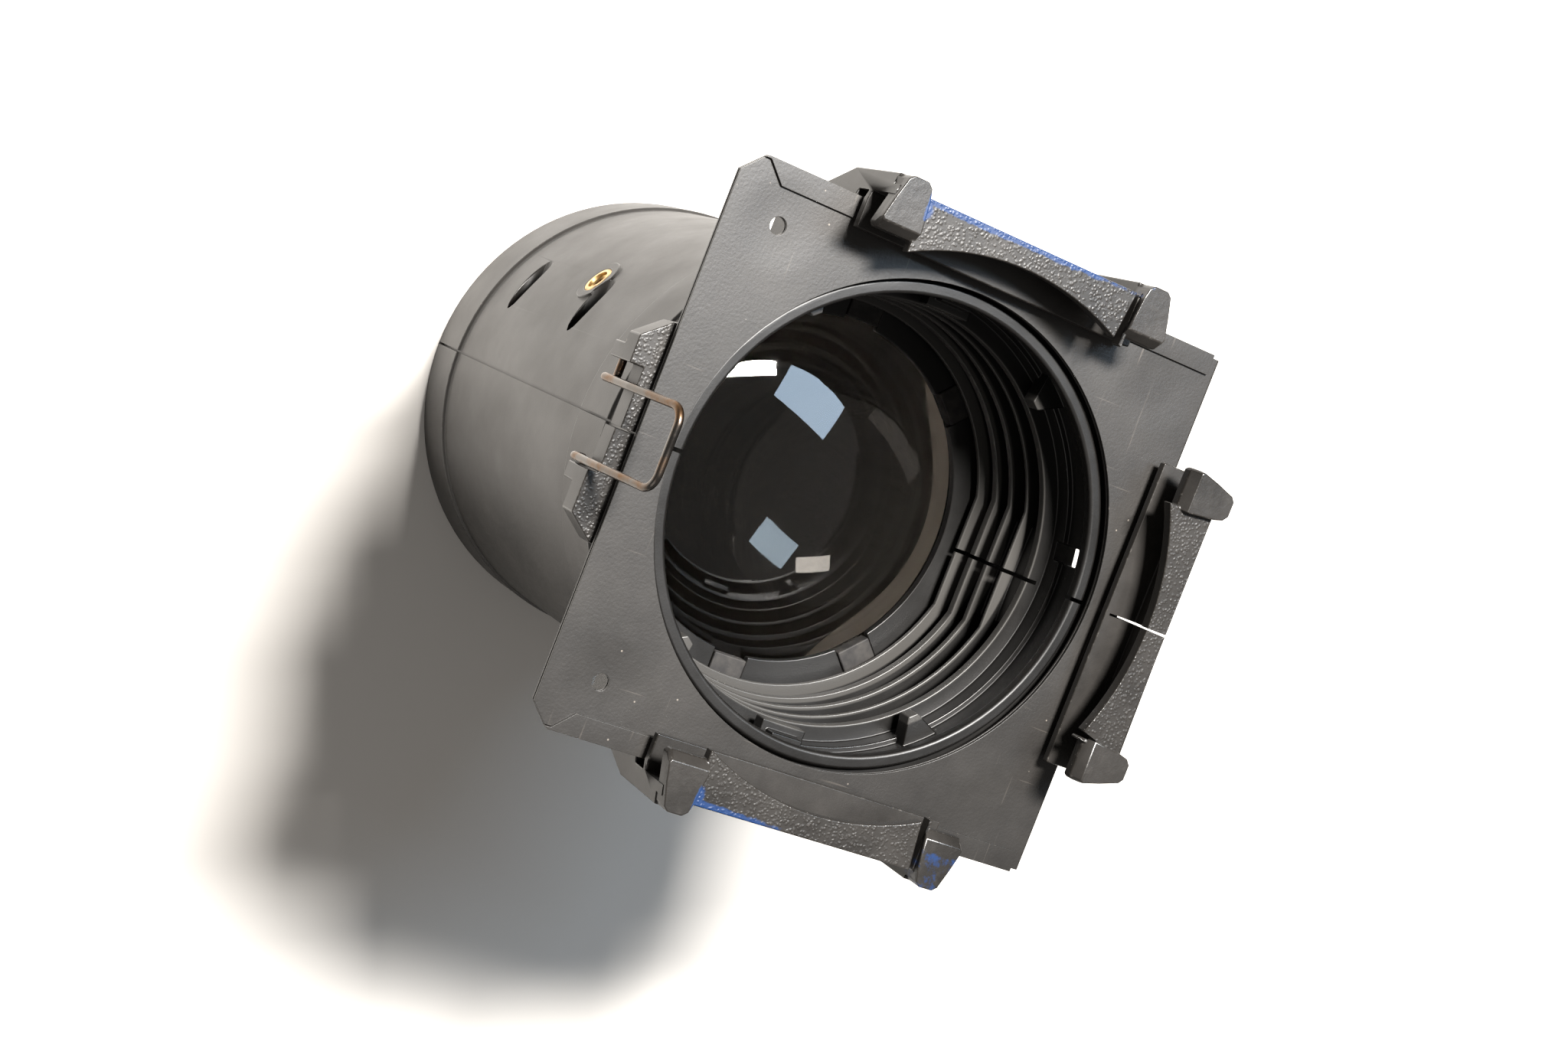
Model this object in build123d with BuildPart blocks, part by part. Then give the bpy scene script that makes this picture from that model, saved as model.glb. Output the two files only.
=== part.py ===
"""Front attachment of a stage profile spotlight: a die-cast lens tube in two halves that ends in
an accessory holder, with its lens, a square colour frame in the rear slot and a wire clip that
keeps the frame in.

Millimetres. +Z runs along the light's axis towards the stage, so the tube stands on its rear rim.
The clip side is +Y, which is up when the light hangs level.
"""

import os
from math import cos, radians, sin, sqrt

from build123d import *

os.makedirs("parts", exist_ok=True)

# ---- Driving dimensions -------------------------------------------------------------------
# Colour frame: the standard square of 6 1/4 inches.
frame_side = 158.75
frame_half = frame_side / 2
frame_thick = 2.0
sheet = 0.75
aperture_r = 68.6
hem_width = 6.1
hem_gap = 0.1
corner_cut = 6.0
fastener_x, fastener_y, fastener_r = 63.6, 63.8, 2.4

# Heights above the rear rim.
face = 208.0  # front face of the colour frame
slot_floor = face - 3.0  # front face of the flange behind the colour frame
flange_back = face - 12.0

# Tube.
tube_r, band_r, bore_r = 73.0, 74.0, 69.5
ring_r, ring_start, ring_full = 75.5, face - 24.0, face - 16.0  # collar behind the flange
inside_r = 55.0  # solids start here and the bore trims them
bay_r, bay_step_r = 68.0, 66.3  # bore between the rim and the first rib
bay_floor, bay_step = face - 24.5, face - 19.0
rim_r, rim_outer_r = 64.3, 68.2  # the front rim
rim_front, rim_back, rim_round = face - 3.0, face - 6.3, 1.1
rim_gutter_r, rim_gutter = 71.0, face - 5.2  # shallow gutter around the rim
band_length, front_band = 22.0, 148.0
rear_bead_r = 67.0

# Ribs inside the tube: depth behind the colour frame's face, crest radius, width.
ribs = [(26.0, 61.5, 3.0), (34.5, 61.2, 1.4), (44.0, 61.0, 2.2), (52.5, 60.4, 3.0), (59.5, 58.4, 1.6)]
rib_flat_share = 0.954  # the flat across the seam, as a share of the crest radius

# Lens and its seat.
lens_r, lens_edge = 57.2, 3.7
lens_front_ball, lens_rear_ball = 142.0, 150.0  # radii of the two curved faces
lens_back = face - 73.0  # rear of the lens's edge
front_lip_r, rear_lip_r = 52.3, 53.6
front_lip = (face - 66.4, face - 63.9)
rear_lip = (face - 78.0, face - 74.8)
pad_angles = [0, 44, 136, 180, 224, 316]
pad_width, pad_in, pad_out = 11.0, 53.2, 60.5
saddle_width = 16.0

# Seam between the halves, and the screws across it.
seam_flat, seam_half_width = 62.5, 15.0
seam_groove, seam_groove_depth = 0.7, 0.6
inner_gap, inner_gap_y, rim_gap_y = 1.2, 64.8, 70.0
rail_gap = 0.6
screw_y = 66.3
screw_heights = [45.0, 105.0]
screw_boss_r, screw_boss_end = 6.2, 33.0  # boss on the inside wall around each pocket
peep_x, peep_z = (8.4, 13.8), (face - 22.4, face - 12.5)  # slot through the bay's wall
screw_r, screw_head_r, screw_head = 1.97, 3.5, 2.6
screw_seat_x, screw_end_x = 12.5, -12.0
clearance_r, access_r = 2.25, 4.2

# Accessory rails, in each rail's own terms: d outwards from the axis, s along the rail.
rail_turns = [0, 180, 270]
rail_half = 46.5
wall_in, wall_out = 81.5, 84.2
flange_in, lip_in = 45.0, 66.0
beyond = 95.0  # past every rail, for cutting
mid_crest, mid_half = 71.0, 45.5
mid_low, mid_high = face + 3.0, face + 5.5
front_low, front_high = face + 14.5, face + 18.0
front_arc_r = 77.5
post_in, post_foot_in, post_out = 74.2, 71.9, 87.6
post_start, post_end, post_lean = 34.3, 46.7, 3.4
post_low, post_turn, post_front = face + 14.0, face + 17.0, face + 20.0
gusset_start, gusset_turn, gusset_foot = 35.6, face - 12.5, face - 44.0
# Clefts between the lip and a post, as (turn, side): the two side rails have one at their lower end.
clefts = {(0, -1): 13.0, (180, 1): 13.0, (270, -1): 3.5}
cleft_start, cleft_wide, cleft_narrow = post_foot_in - 4.0, 2.4, 0.2

# Top flange and clip.
flange_front = face - 4.0
flange_wide, flange_shoulder, flange_top = 30.5, 79.5, 87.0
flange_root_x = 34.0
flange_slope_x, lug_thick = 24.5, 4.5
lug_right, lug_left = 16.8, -12.7  # the lugs' inner faces
dip_right, dip_left = 82.8, 84.1
pivot_y, pivot_z = 83.0, face - 19.0
lug_r, pivot_hole_r = 4.0, 1.25
lug_root, lug_foot = 66.0, pivot_z - 14.0
wire_r = 1.15
arm_x, foot_play = 11.0, 1.0
arm_heel, arm_knee, arm_tip = (88.0, face - 15.0), (86.0, face), (80.0, face + 24.0)
bend_radii = [1.8, 2.4, 6.0, 4.5]

# Bosses cast on the bay's wall, and the threaded boss for the focus knob.
block_angles, wedge_angles = [0, 180], [38, 142, 218, 322]
block_back, block_mid, block_front = face - 21.0, face - 16.0, face - 12.0
block_low_in, block_low_half, block_high_in, block_high_half = 61.5, 7.0, 63.8, 5.0
wedge_in, wedge_in_half, wedge_out_half, wedge_height = 60.0, 1.5, 6.5, 6.0
insert_angle, insert_z = 60.0, 95.0
insert_r, insert_hole_r, insert_length, boss_r = 5.0, 3.0, 10.0, 8.0


def outline(plane, points):
    """A closed outline of straight runs, as a face on a plane."""
    with BuildSketch(plane) as drawn:
        with BuildLine():
            Polyline(*points, close=True)
        make_face()
    return drawn.sketch


def rail_plane(turn, height):
    """A level plane whose x runs outwards along a rail's d and whose y runs along its s."""
    return Plane.XY.offset(height).rotated((0, 0, turn))


def upright_plane(turn, s):
    """An upright plane across a rail at s: x runs outwards along d and y runs up."""
    out = Vector(cos(radians(turn)), sin(radians(turn)), 0)
    along = Vector(-sin(radians(turn)), cos(radians(turn)), 0)
    return Plane(origin=along * s, x_dir=out, z_dir=-along)


def rail_block(turn, d_range, s_range, z_range, mode=Mode.ADD):
    """A square block of a rail that is turned about the axis by an angle."""
    with BuildSketch(rail_plane(turn, z_range[0])) as block:
        with Locations((sum(d_range) / 2, sum(s_range) / 2)):
            Rectangle(d_range[1] - d_range[0], s_range[1] - s_range[0])
    extrude(block.sketch, amount=z_range[1] - z_range[0], mode=mode)


def post_outline(inner, side):
    """One end post seen from the front, for side +1 or -1 along the rail."""
    return [
        (inner, side * post_start),
        (wall_out - 1.0, side * (post_start + 0.9)),
        (post_out - 1.3, side * (post_start + 1.7)),
        (post_out, side * (post_start + 3.2)),
        (post_out, side * (post_end - post_lean - 1.4)),
        (post_out - 1.2, side * (post_end - post_lean)),
        (inner + 1.2, side * post_end),
        (inner, side * (post_end - 0.8)),
    ]


# ---- Tube with accessory holder -----------------------------------------------------------
inside_of_tube = Cylinder(tube_r - 0.5, 2 * face)
screw_bosses = [
    extrude(Plane.YZ * Pos(side * screw_y, height) * Circle(screw_boss_r), amount=screw_boss_end) & inside_of_tube
    for side in (-1, 1) for height in screw_heights
]

with BuildPart() as casting:
    # Outside of the barrel, with two turned bands that run in the light's body.
    revolve(outline(Plane.XZ, [
        (0, 0), (band_r, 0), (band_r, band_length), (tube_r, band_length + 1),
        (tube_r, front_band - 1), (band_r, front_band), (band_r, front_band + band_length),
        (tube_r, front_band + band_length + 1), (tube_r, ring_start), (ring_r, ring_full),
        (ring_r, flange_front), (0, flange_front),
    ]), axis=Axis.Z)
    for turn in rail_turns:
        # Flange behind the colour frame, the outer wall, and the wall between the two slots.
        rail_block(turn, (flange_in, wall_out), (-rail_half, rail_half), (flange_back, slot_floor))
        rail_block(turn, (wall_in, wall_out), (-rail_half, rail_half), (slot_floor, front_high))
        rail_block(turn, (mid_crest, wall_out), (-mid_half, mid_half), (mid_low, mid_high))
        # Front lip, whose inner edge is cut round below.
        rail_block(turn, (lip_in, wall_out), (-post_start - 1, post_start + 1), (front_low, front_high))
    with BuildSketch(Plane.XY.offset(front_low - 0.5)):
        Circle(front_arc_r)
    extrude(amount=front_high - front_low + 1, mode=Mode.SUBTRACT)
    for turn in rail_turns:
        for side in (-1, 1):
            # End post: a head that leans in towards the frame, and a gusset down to the tube.
            foot = outline(rail_plane(turn, post_low), post_outline(post_foot_in, side))
            extrude(foot, amount=post_turn - post_low)
            loft([
                outline(rail_plane(turn, post_turn), post_outline(post_foot_in, side)),
                outline(rail_plane(turn, post_front), post_outline(post_in, side)),
            ])
            extrude(outline(upright_plane(turn, side * gusset_start), [
                (wall_in, post_low), (post_out, post_low), (post_out, gusset_turn),
                (tube_r, gusset_foot), (inside_r, gusset_foot), (inside_r, slot_floor), (wall_in, slot_floor),
            ]), amount=-side * (post_end - gusset_start))
            # The rail's end is one flat face that leans inwards.
            extrude(outline(rail_plane(turn, gusset_foot - 1), [
                (post_in, side * post_end), (post_out, side * (post_end - post_lean)),
                (beyond, side * (post_end - post_lean)), (beyond, side * beyond), (post_in, side * beyond),
            ]), amount=post_front - gusset_foot + 2, mode=Mode.SUBTRACT)
            # Cleft between the lip and the post, wide inside and narrow outside.
            reach = clefts.get((turn, side), 0)
            if reach:
                cleft_end = post_foot_in + reach
                extrude(outline(rail_plane(turn, front_low - 1), [
                    (cleft_start, side * (post_start - cleft_wide)), (cleft_end, side * (post_start - cleft_narrow)),
                    (cleft_end, side * (post_start + 0.5)), (cleft_start, side * post_start),
                ]), amount=front_high - front_low + 1, mode=Mode.SUBTRACT)
    # Top flange with the two lugs that carry the clip.
    extrude(outline(Plane.XY.offset(flange_back), [
        (-flange_root_x, inside_r), (-flange_wide, flange_shoulder), (-flange_slope_x, flange_top),
        (lug_left, flange_top), (lug_left, dip_left), (0, dip_left), (0, dip_right),
        (lug_right, dip_right), (lug_right, flange_top), (flange_slope_x, flange_top),
        (flange_wide, flange_shoulder), (flange_root_x, inside_r),
    ]), amount=flange_front - flange_back)
    for inner_face, side in ((lug_left, -1), (lug_right, 1)):
        extrude(outline(Plane.YZ.offset(inner_face), [
            (lug_root, flange_back + 1), (flange_top, flange_back + 1), (flange_top, pivot_z),
            (pivot_y + 2.8, pivot_z - 2.8), (pivot_y, pivot_z - lug_r), (tube_r + 1, lug_foot),
            (lug_root, lug_foot),
        ]), amount=side * lug_thick)
    with BuildSketch(Plane.YZ.offset(lug_left - lug_thick - 1)):
        with Locations((pivot_y, pivot_z)):
            Circle(pivot_hole_r)
    extrude(amount=lug_right - lug_left + 2 * lug_thick + 2, mode=Mode.SUBTRACT)
    # Bore, in steps, and the rounded rim that shows inside the colour frame's opening.
    for low, high, radius in ((-1, bay_floor, bore_r), (bay_floor - 1, bay_step, bay_step_r),
                              (bay_step, face, bay_r)):
        with BuildSketch(Plane.XY.offset(low)):
            Circle(radius)
        extrude(amount=high - low, mode=Mode.SUBTRACT)
    revolve(outline(Plane.XZ, [
        (bay_r, rim_front), (rim_gutter_r, rim_front), (rim_gutter_r, rim_gutter), (bay_r, rim_gutter),
    ]), axis=Axis.Z, mode=Mode.SUBTRACT)
    with BuildSketch(Plane.XZ):
        with BuildLine():
            Line((rim_r, rim_back), (rim_r, rim_front - rim_round))
            RadiusArc((rim_r, rim_front - rim_round), (rim_r + rim_round, rim_front), rim_round)
            Line((rim_r + rim_round, rim_front), (rim_outer_r - rim_round, rim_front))
            RadiusArc((rim_outer_r - rim_round, rim_front), (rim_outer_r, rim_front - rim_round), rim_round)
            Line((rim_outer_r, rim_front - rim_round), (rim_outer_r + 0.5, rim_gutter))
            Line((rim_outer_r + 0.5, rim_gutter), (rim_gutter_r, rim_gutter))
            Line((rim_gutter_r, rim_gutter), (rim_gutter_r, rim_back - 2.5))
            Line((rim_gutter_r, rim_back - 2.5), (bay_r - 0.5, rim_back - 2.5))
            Line((bay_r - 0.5, rim_back - 2.5), (rim_r, rim_back))
        make_face()
    revolve(axis=Axis.Z)
    # Flats along both seams, behind the bay, which take the screws.
    for side in (-1, 1):
        with BuildSketch(Plane.XY):
            with Locations((0, side * (seam_flat + bore_r + 1) / 2)):
                Rectangle(2 * seam_half_width, bore_r + 1 - seam_flat)
        extrude(amount=bay_floor - 1)
    # Ribs. All but the front one have a flat across the seam.
    for depth, crest, width in ribs:
        flat_share = 1 if depth == ribs[0][0] else rib_flat_share
        with BuildSketch(Plane.XY.offset(face - depth - width / 2)):
            Circle(bore_r + 1)
            with BuildSketch(mode=Mode.PRIVATE) as opening:
                Circle(crest)
                Rectangle(2 * crest, 2 * crest * flat_share, mode=Mode.INTERSECT)
            add(opening.sketch, mode=Mode.SUBTRACT)
        extrude(amount=width)
    # Lips in front of and behind the lens, the saddles behind its pads, and the rear bead.
    for (low, high), lip_r in ((front_lip, front_lip_r), (rear_lip, rear_lip_r), ((0, 3), rear_bead_r)):
        with BuildSketch(Plane.XY.offset(low)):
            Circle(bore_r + 1)
            Circle(lip_r, mode=Mode.SUBTRACT)
        extrude(amount=high - low)
    for angle in pad_angles:
        rail_block(angle, (pad_out, bore_r + 1), (-saddle_width / 2, saddle_width / 2),
                   (rear_lip[0], front_lip[1]))
        rail_block(angle, (pad_in - 2, pad_out), (-pad_width / 2, pad_width / 2),
                   (rear_lip[0] - 1, front_lip[1] + 1), Mode.SUBTRACT)
    # Catches on the wall of the bay: stepped blocks at the sides, wedges between.
    for angle in block_angles:
        rail_block(angle, (block_low_in, bay_r + 1), (-block_low_half, block_low_half), (block_back, block_mid))
        rail_block(angle, (block_high_in, bay_r + 1), (-block_high_half, block_high_half), (block_mid, block_front))
    for angle in wedge_angles:
        wedge = [(bay_r + 1.5, -wedge_out_half), (wedge_in, -wedge_in_half), (wedge_in, wedge_in_half),
                 (bay_r + 1.5, wedge_out_half)]
        extrude(outline(rail_plane(angle, block_back), wedge), amount=wedge_height)
    # Boss for the focus knob's insert, on the right half.
    radial = Vector(cos(radians(insert_angle)), sin(radians(insert_angle)), 0)
    insert_plane = Plane(origin=radial * (tube_r + 0.6) + Vector(0, 0, insert_z), z_dir=radial)
    with BuildSketch(insert_plane.offset(-insert_length - 2)):
        Circle(boss_r)
    extrude(amount=insert_length + 2)
    with BuildSketch(insert_plane.offset(-insert_length - 3)):
        Circle(insert_r)
    extrude(amount=insert_length + 4, mode=Mode.SUBTRACT)
    # Screw holes across both seams, with an access pocket in a boss from the right side.
    for screw_boss in screw_bosses:
        add(screw_boss)
    for side in (-1, 1):
        for height in screw_heights:
            for radius, start, end in (
                (access_r, screw_seat_x, 60), (clearance_r, 0, screw_seat_x), (screw_r + 0.03, -14, 0),
            ):
                with BuildSketch(Plane.YZ.offset(start)):
                    with Locations((side * screw_y, height)):
                        Circle(radius)
                extrude(amount=end - start, mode=Mode.SUBTRACT)
    # Slot through the wall of the bay, beside the lower seam.
    with BuildSketch(Plane.XY.offset(peep_z[0])):
        with Locations((sum(peep_x) / 2, -(bay_step_r + tube_r) / 2)):
            Rectangle(peep_x[1] - peep_x[0], 20)
    extrude(amount=peep_z[1] - peep_z[0], mode=Mode.SUBTRACT)
    # The seam is open inside, across the ribs and the rim.
    for side in (-1, 1):
        for low, high, reach in ((face - 62, bay_floor, inner_gap_y), (rim_back - 3, face, rim_gap_y)):
            with BuildSketch(Plane.XY.offset(low)):
                with Locations((0, side * (50 + reach) / 2)):
                    Rectangle(inner_gap, reach - 50)
            extrude(amount=high - low, mode=Mode.SUBTRACT)
    # Seam line: a shallow groove on the outside, and an open gap through the lower rail.
    for side in (-1, 1):
        with BuildSketch(Plane.XY.offset(-1)):
            with Locations((0, side * (tube_r - seam_groove_depth + 10))):
                Rectangle(seam_groove, 20)
        extrude(amount=front_high + 5, mode=Mode.SUBTRACT)
    with BuildSketch(Plane.XY.offset(gusset_foot)):
        with Locations((0, -85)):
            Rectangle(rail_gap, 18)
    extrude(amount=post_front - gusset_foot + 5, mode=Mode.SUBTRACT)

with BuildPart() as tube_half_left:
    add(casting.part)
    split(bisect_by=Plane.YZ, keep=Keep.BOTTOM)
tube_half_left.part.label = "tube_half_left"

with BuildPart() as tube_half_right:
    add(casting.part)
    split(bisect_by=Plane.YZ, keep=Keep.TOP)
tube_half_right.part.label = "tube_half_right"

# ---- Lens and its silicone pads -----------------------------------------------------------
lens_front_sag = lens_front_ball - sqrt(lens_front_ball**2 - lens_r**2)
lens_rear_sag = lens_rear_ball - sqrt(lens_rear_ball**2 - lens_r**2)
with BuildPart() as lens:
    with BuildSketch(Plane.XZ):
        with BuildLine():
            front_top = (0, lens_back + lens_edge + lens_front_sag)
            RadiusArc((0, lens_back - lens_rear_sag), (lens_r, lens_back), -lens_rear_ball)
            Line((lens_r, lens_back), (lens_r, lens_back + lens_edge))
            RadiusArc((lens_r, lens_back + lens_edge), front_top, -lens_front_ball)
            Line(front_top, (0, lens_back - lens_rear_sag))
        make_face()
    revolve(axis=Axis.Z)
lens.part.label = "lens"

pads = []
for number, angle in enumerate(pad_angles, 1):
    with BuildPart() as lens_pad:
        rail_block(angle, (pad_in, pad_out - 0.05), (-pad_width / 2 + 0.05, pad_width / 2 - 0.05),
                   (rear_lip[0] - 0.6, front_lip[1] + 0.6))
        add(lens.part, mode=Mode.SUBTRACT)
    lens_pad.part.label = f"lens_pad_{number}"
    pads.append(lens_pad.part)

# ---- Seam screws and the focus knob's insert ----------------------------------------------
screw_sets = {}
for name, side in (("seam_screws_top", 1), ("seam_screws_bottom", -1)):
    with BuildPart() as screw_set:
        for height in screw_heights:
            for radius, start, end in (
                (screw_r, screw_end_x, screw_seat_x), (screw_head_r, screw_seat_x, screw_seat_x + screw_head),
            ):
                with BuildSketch(Plane.YZ.offset(start)):
                    with Locations((side * screw_y, height)):
                        Circle(radius)
                extrude(amount=end - start)
            # Cross recess.
            with BuildSketch(Plane.YZ.offset(screw_seat_x + screw_head)):
                with Locations((side * screw_y, height)):
                    Rectangle(4.0, 0.8)
                    Rectangle(0.8, 4.0)
            extrude(amount=-1.4, mode=Mode.SUBTRACT)
    screw_set.part.label = name
    screw_sets[name] = screw_set.part

with BuildPart() as focus_insert:
    with BuildSketch(insert_plane.offset(-insert_length)):
        Circle(insert_r)
        Circle(insert_hole_r, mode=Mode.SUBTRACT)
    extrude(amount=insert_length)
focus_insert.part.label = "focus_insert"

# ---- Colour frame, folded from one sheet --------------------------------------------------
fold_r = frame_thick / 2
with BuildPart() as gel_frame:
    # Two leaves joined by a fold at the bottom, open at the top.
    leaf_half = frame_half - sheet - 0.15
    with BuildSketch(Plane.YZ.offset(-leaf_half)):
        with Locations((fold_r / 2, face - fold_r)):
            Rectangle(frame_side - fold_r, frame_thick)
        with Locations((-frame_half + fold_r, face - fold_r)):
            Circle(fold_r)
        with Locations((fold_r / 2, face - fold_r)):
            Rectangle(frame_side - fold_r, frame_thick - 2 * sheet, mode=Mode.SUBTRACT)
        with Locations((-frame_half + fold_r, face - fold_r)):
            Circle(fold_r - sheet, mode=Mode.SUBTRACT)
    extrude(amount=2 * leaf_half)
    # The rear leaf's sides turn up and over the front leaf as hems.
    hem_start = -frame_half + 3.0
    for side in (-1, 1):
        with BuildSketch(Plane.XY.offset(face - frame_thick)):
            with Locations((side * (frame_half - 1), (hem_start + frame_half) / 2)):
                Rectangle(2, frame_half - hem_start)
        extrude(amount=sheet)
        with BuildSketch(Plane.XY.offset(face - frame_thick)):
            with Locations((side * (frame_half - sheet / 2), (hem_start + frame_half) / 2)):
                Rectangle(sheet, frame_half - hem_start)
        extrude(amount=frame_thick + hem_gap + sheet)
        with BuildSketch(Plane.XY.offset(face + hem_gap)):
            with BuildLine():
                Polyline(
                    (side * frame_half, hem_start), (side * frame_half, frame_half - corner_cut),
                    (side * (frame_half - hem_width), frame_half - corner_cut - hem_width),
                    (side * (frame_half - hem_width), hem_start), close=True,
                )
            make_face()
        extrude(amount=sheet)
        # Cut top corners and the paper-fastener holes.
        with BuildSketch(Plane.XY.offset(face - frame_thick - 1)):
            with BuildLine():
                Polyline(
                    (side * (frame_half - corner_cut), frame_half + 0.01),
                    (side * (frame_half + 0.01), frame_half + 0.01),
                    (side * (frame_half + 0.01), frame_half - corner_cut), close=True,
                )
            make_face()
            with Locations((side * fastener_x, fastener_y)):
                Circle(fastener_r)
        extrude(amount=frame_thick + 4, mode=Mode.SUBTRACT)
    with BuildSketch(Plane.XY.offset(face - frame_thick - 1)):
        Circle(aperture_r)
    extrude(amount=frame_thick + 4, mode=Mode.SUBTRACT)
gel_frame.part.label = "gel_frame"

# ---- Wire clip ----------------------------------------------------------------------------
foot_right, foot_left = lug_right + lug_thick + foot_play, lug_left - lug_thick - foot_play
arm_route = [(pivot_y, pivot_z), arm_heel, arm_knee, arm_tip]
route = [(foot_right, pivot_y, pivot_z)] + [(arm_x, y, z) for y, z in arm_route]
route += [(-arm_x, y, z) for y, z in reversed(arm_route)] + [(foot_left, pivot_y, pivot_z)]
with BuildPart() as retaining_clip:
    with BuildLine() as clip_line:
        FilletPolyline(*route, radius=bend_radii + bend_radii[::-1])
    with BuildSketch(Plane(origin=route[0], z_dir=(-1, 0, 0))):
        Circle(wire_r)
    sweep(path=clip_line.wires()[0])
retaining_clip.part.label = "retaining_clip"

# ---- Write one file per piece -------------------------------------------------------------
pieces = [tube_half_left.part, tube_half_right.part, lens.part, *pads, *screw_sets.values(),
          focus_insert.part, gel_frame.part, retaining_clip.part]
for piece in pieces:
    export_step(piece, f"parts/{piece.label}.step")
    print(piece.label, round(piece.volume), "solids", len(piece.solids()))
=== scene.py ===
# %% [markdown]
# # A spotlight's lens tube with its colour frame
#
# A stage spotlight ends in a black die-cast tube. On the tube's front are three rails, which hold
# a square sheet-steel colour frame, and a wire clip keeps the frame from sliding out. The CAD
# model already has every part at its true size. This lesson adds what a camera sees: the rounded
# edges and rough skin of a casting, the thin black paint on folded sheet, bent wire and glass.

# %% Load the CAD model as a fixed frame
import math

import bmesh
import bpy
from mathutils import Matrix, Quaternion, Vector
from mathutils.bvhtree import BVHTree


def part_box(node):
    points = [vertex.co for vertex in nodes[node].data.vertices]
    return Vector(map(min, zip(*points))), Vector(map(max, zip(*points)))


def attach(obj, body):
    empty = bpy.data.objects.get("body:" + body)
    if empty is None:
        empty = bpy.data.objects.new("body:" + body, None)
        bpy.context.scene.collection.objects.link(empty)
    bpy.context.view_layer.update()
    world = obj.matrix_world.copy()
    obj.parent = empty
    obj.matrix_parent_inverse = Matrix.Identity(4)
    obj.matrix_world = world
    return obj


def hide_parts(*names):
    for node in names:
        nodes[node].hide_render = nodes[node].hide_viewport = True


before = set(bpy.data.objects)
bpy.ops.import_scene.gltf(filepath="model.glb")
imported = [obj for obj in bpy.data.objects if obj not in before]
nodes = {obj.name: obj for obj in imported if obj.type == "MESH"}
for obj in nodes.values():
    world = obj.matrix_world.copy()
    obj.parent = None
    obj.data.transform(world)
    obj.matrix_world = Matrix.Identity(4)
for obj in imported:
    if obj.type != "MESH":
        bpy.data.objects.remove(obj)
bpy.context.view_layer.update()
MM = 0.001

# %% [markdown]
# The colour frame's front face is the level that every other height hangs on. Its hems stand a
# little proud of it, by one sheet and a hair's gap. The rails' lips end 18 mm in front of it, and
# their outer faces stand 84.2 mm from the tube's axis.

# %% Heights and distances that the pieces share
SHEET, HEM_GAP = 0.75 * MM, 0.1 * MM
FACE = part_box("gel_frame")[1].z - SHEET - HEM_GAP
LIP_FRONT = FACE + 18 * MM
RAIL_OUT = 84.2 * MM
print("colour frame's face at", round(FACE / MM, 1), "mm")

# %% [markdown]
# The camera stands close and looks down into the tube, rolled onto its side, as a person would
# hold one to picture an object on a table. It aims at a spot on the colour frame's face.

# %% Camera
CAMERA_OFFSET = Vector((15.6, 308.7, 564.0)) * MM
AIM_OFFSET = Vector((-7.9, 31.1, 0.0)) * MM
SIDE_UP = Vector((0.9305, 0.3118, -0.1923))
centre = Vector((0, 0, FACE))

camera = bpy.data.objects.new("camera", bpy.data.cameras.new("camera"))
bpy.context.scene.collection.objects.link(camera)
camera.data.sensor_width = 36.0
camera.data.lens = 54.3
backwards = (CAMERA_OFFSET - AIM_OFFSET).normalized()
right = SIDE_UP.cross(backwards).normalized()
up = backwards.cross(right)
camera.matrix_world = (
    Matrix.Translation(centre + CAMERA_OFFSET) @ Matrix((right, up, backwards)).transposed().to_4x4()
)
camera.data.clip_start, camera.data.clip_end = 0.01, 20.0
bpy.context.scene.camera = camera
print("camera's distance from the aim, mm:", round((CAMERA_OFFSET - AIM_OFFSET).length / MM))

# %% [markdown]
# Black paint shows its shape only by what it reflects, so the lights matter more than the colour.
# One small strong panel stands on the +X side, where a window would be. It gives the bright end
# and the fall-off across the colour frame, and it shows in the lens twice: upright in the front
# face and upside down in the rear one. A weaker blue panel beside it stands for the sky.

# %% Floor, lights and sky
def area_light(name, place, aim, size, watts, colour, roll=0.0):
    """A soft rectangular light at a place, facing a point and rolled about its beam."""
    data = bpy.data.lights.new(name, "AREA")
    data.shape = "RECTANGLE"
    data.size, data.size_y = size
    data.energy = watts
    data.color = colour
    lamp = bpy.data.objects.new(name, data)
    bpy.context.scene.collection.objects.link(lamp)
    lamp.location = place
    lamp.rotation_mode = "QUATERNION"
    beam = (Vector(aim) - Vector(place)).to_track_quat("-Z", "Y")
    lamp.rotation_quaternion = beam @ Quaternion((0, 0, 1), roll)
    return lamp


ROLL = 0.36
WARM, WARMER, SKY_BLUE = (1.0, 0.965, 0.925), (1.0, 0.96, 0.92), (0.62, 0.80, 1.0)
area_light("window", (0.493, 0.02, 1.148), (0.02, 0.02, 0.15), (0.30, 0.15), 55, WARM, ROLL)
area_light("sky_window", (0.45, -0.38, 1.15), (0.0, 0.0, 0.15), (0.38, 0.28), 4.0, SKY_BLUE, ROLL)
area_light("fill_panel", (-0.9, 0.5, 0.9), (0, 0, 0.15), (0.9, 0.7), 1.5, WARMER)

world = bpy.data.worlds.new("studio")
bpy.context.scene.world = world
world.use_nodes = True
sky = world.node_tree.nodes["Background"]
sky.inputs["Color"].default_value = (*WARMER, 1)
sky.inputs["Strength"].default_value = 0.2

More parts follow.
